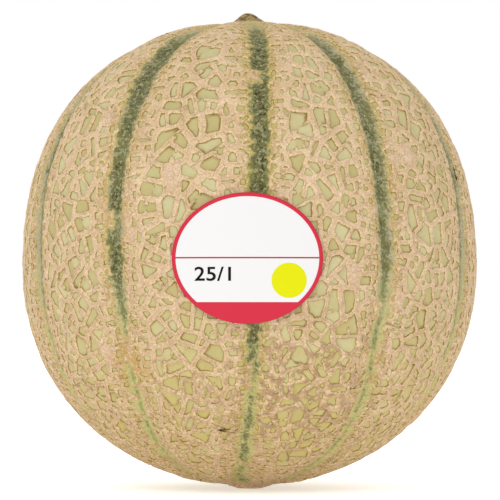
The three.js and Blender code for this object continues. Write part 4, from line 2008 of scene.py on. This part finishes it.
@dataclass(frozen=True)
class Studio:
    """Pale floor, white surroundings, a soft lamp and a nearly level camera before the melon.

    Lengths are millimetres, but for the floor's, the lamp's and the clip distances: metres.
    """

    picture_span: float = 154.2
    camera_distance: float = 1000.0
    camera_elevation: float = math.radians(-1.0)
    aim: tuple[float, float, float] = (0.15, 0.0, 73.3)
    sensor_width: float = 36.0
    clip_distances: Pair = (0.05, 100.0)
    floor_radius: float = 30.0
    floor_colour: str = "#f6f6f5"
    floor_shade: str = "#f4f4f3"
    floor_clouds: Clouds = Clouds(40.0, 0.3, 0.7)
    floor_segments: int = 96
    floor_roughness: float = 0.9
    floor_glow: float = 0.5
    world_strength: float = 1.0
    lamp_place: tuple[float, float, float] = (-0.3, -0.95, 0.95)
    lamp_size: float = 0.7
    lamp_power: float = 4.0

    def build(self) -> None:
        """Builds the floor, the world, the lamp and the camera."""
        self._add_floor()
        self._add_world()
        self._add_lamp()
        self._add_camera()

    def _add_floor(self) -> None:
        """Adds the floor, a wide disc of lit acrylic: nearly white, and only faintly shaded."""
        mesh = bpy.data.meshes.new("floor")
        disc = bmesh.new()
        bmesh.ops.create_circle(
            disc, cap_ends=True, segments=self.floor_segments, radius=self.floor_radius
        )
        disc.to_mesh(mesh)
        disc.free()
        floor = bpy.data.objects.new("floor", mesh)
        bpy.context.scene.collection.objects.link(floor)
        tree = MaterialTree("lit_acrylic")
        clouds = tree.patches(self.floor_clouds)
        material = tree.finished(
            Base_Color=tree.painted(self.floor_colour, self.floor_shade, clouds),
            Roughness=self.floor_roughness,
            Emission_Color=linear(self.floor_colour),
            Emission_Strength=self.floor_glow,
        )
        mesh.materials.append(material)

    def _add_world(self) -> None:
        """Adds even white surroundings."""
        world = bpy.data.worlds.new("white_studio")
        world.use_nodes = True
        background = world.node_tree.nodes["Background"]
        background.inputs["Color"].default_value = (1.0, 1.0, 1.0, 1.0)
        background.inputs["Strength"].default_value = self.world_strength
        bpy.context.scene.world = world

    def _add_lamp(self) -> None:
        """Adds a square soft lamp that points at the melon."""
        light = bpy.data.lights.new("key_lamp", "AREA")
        light.size = self.lamp_size
        light.energy = self.lamp_power
        lamp = bpy.data.objects.new("key_lamp", light)
        lamp.location = self.lamp_place
        aim = Vector(self.aim) * METRES_PER_MM
        lamp.rotation_euler = (aim - lamp.location).to_track_quat("-Z", "Y").to_euler()
        bpy.context.scene.collection.objects.link(lamp)

    def _add_camera(self) -> None:
        """Adds the camera, whose picture spans the given width at the melon's axis."""
        camera = bpy.data.cameras.new("camera")
        camera.sensor_width = self.sensor_width
        camera.lens = self.sensor_width * self.camera_distance / self.picture_span
        camera.clip_start, camera.clip_end = self.clip_distances
        holder = bpy.data.objects.new("camera", camera)
        aim = Vector(self.aim)
        level = math.cos(self.camera_elevation)
        back = Vector((0.0, -level, math.sin(self.camera_elevation)))
        holder.location = (aim + back * self.camera_distance) * METRES_PER_MM
        holder.rotation_euler = (-back).to_track_quat("-Z", "Y").to_euler()
        bpy.context.scene.collection.objects.link(holder)
        bpy.context.scene.camera = holder
        bpy.context.scene.view_settings.view_transform = "Standard"


def install(piece: bpy.types.Object, material: bpy.types.Material, node: str) -> None:
    """Gives a piece its material and its body, and hides the CAD node that it stands for.

    Args:
        piece: The piece.
        material: Its material.
        node: The CAD node's name.
    """
    piece.data.materials.append(material)
    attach(piece, BODY)
    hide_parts(node)
    LOG.info("%s rides on %s and replaces %s", piece.name, BODY, node)


def main() -> None:
    """Builds the melon, its label and the studio."""
    logging.basicConfig(level=logging.INFO, format="%(name)s: %(message)s")
    Studio().build()
    shape = MelonShape()
    rind = Rind(shape)
    install(rind.build(), NettedRind().material(), "melon")
    label = PaperLabel(shape)
    install(label.build(), PrintedPaper().material(label), "paper_label")
    install(label.build_numerals(), PrintInk().material(), "paper_label")


if __name__ == "__main__":
    main()
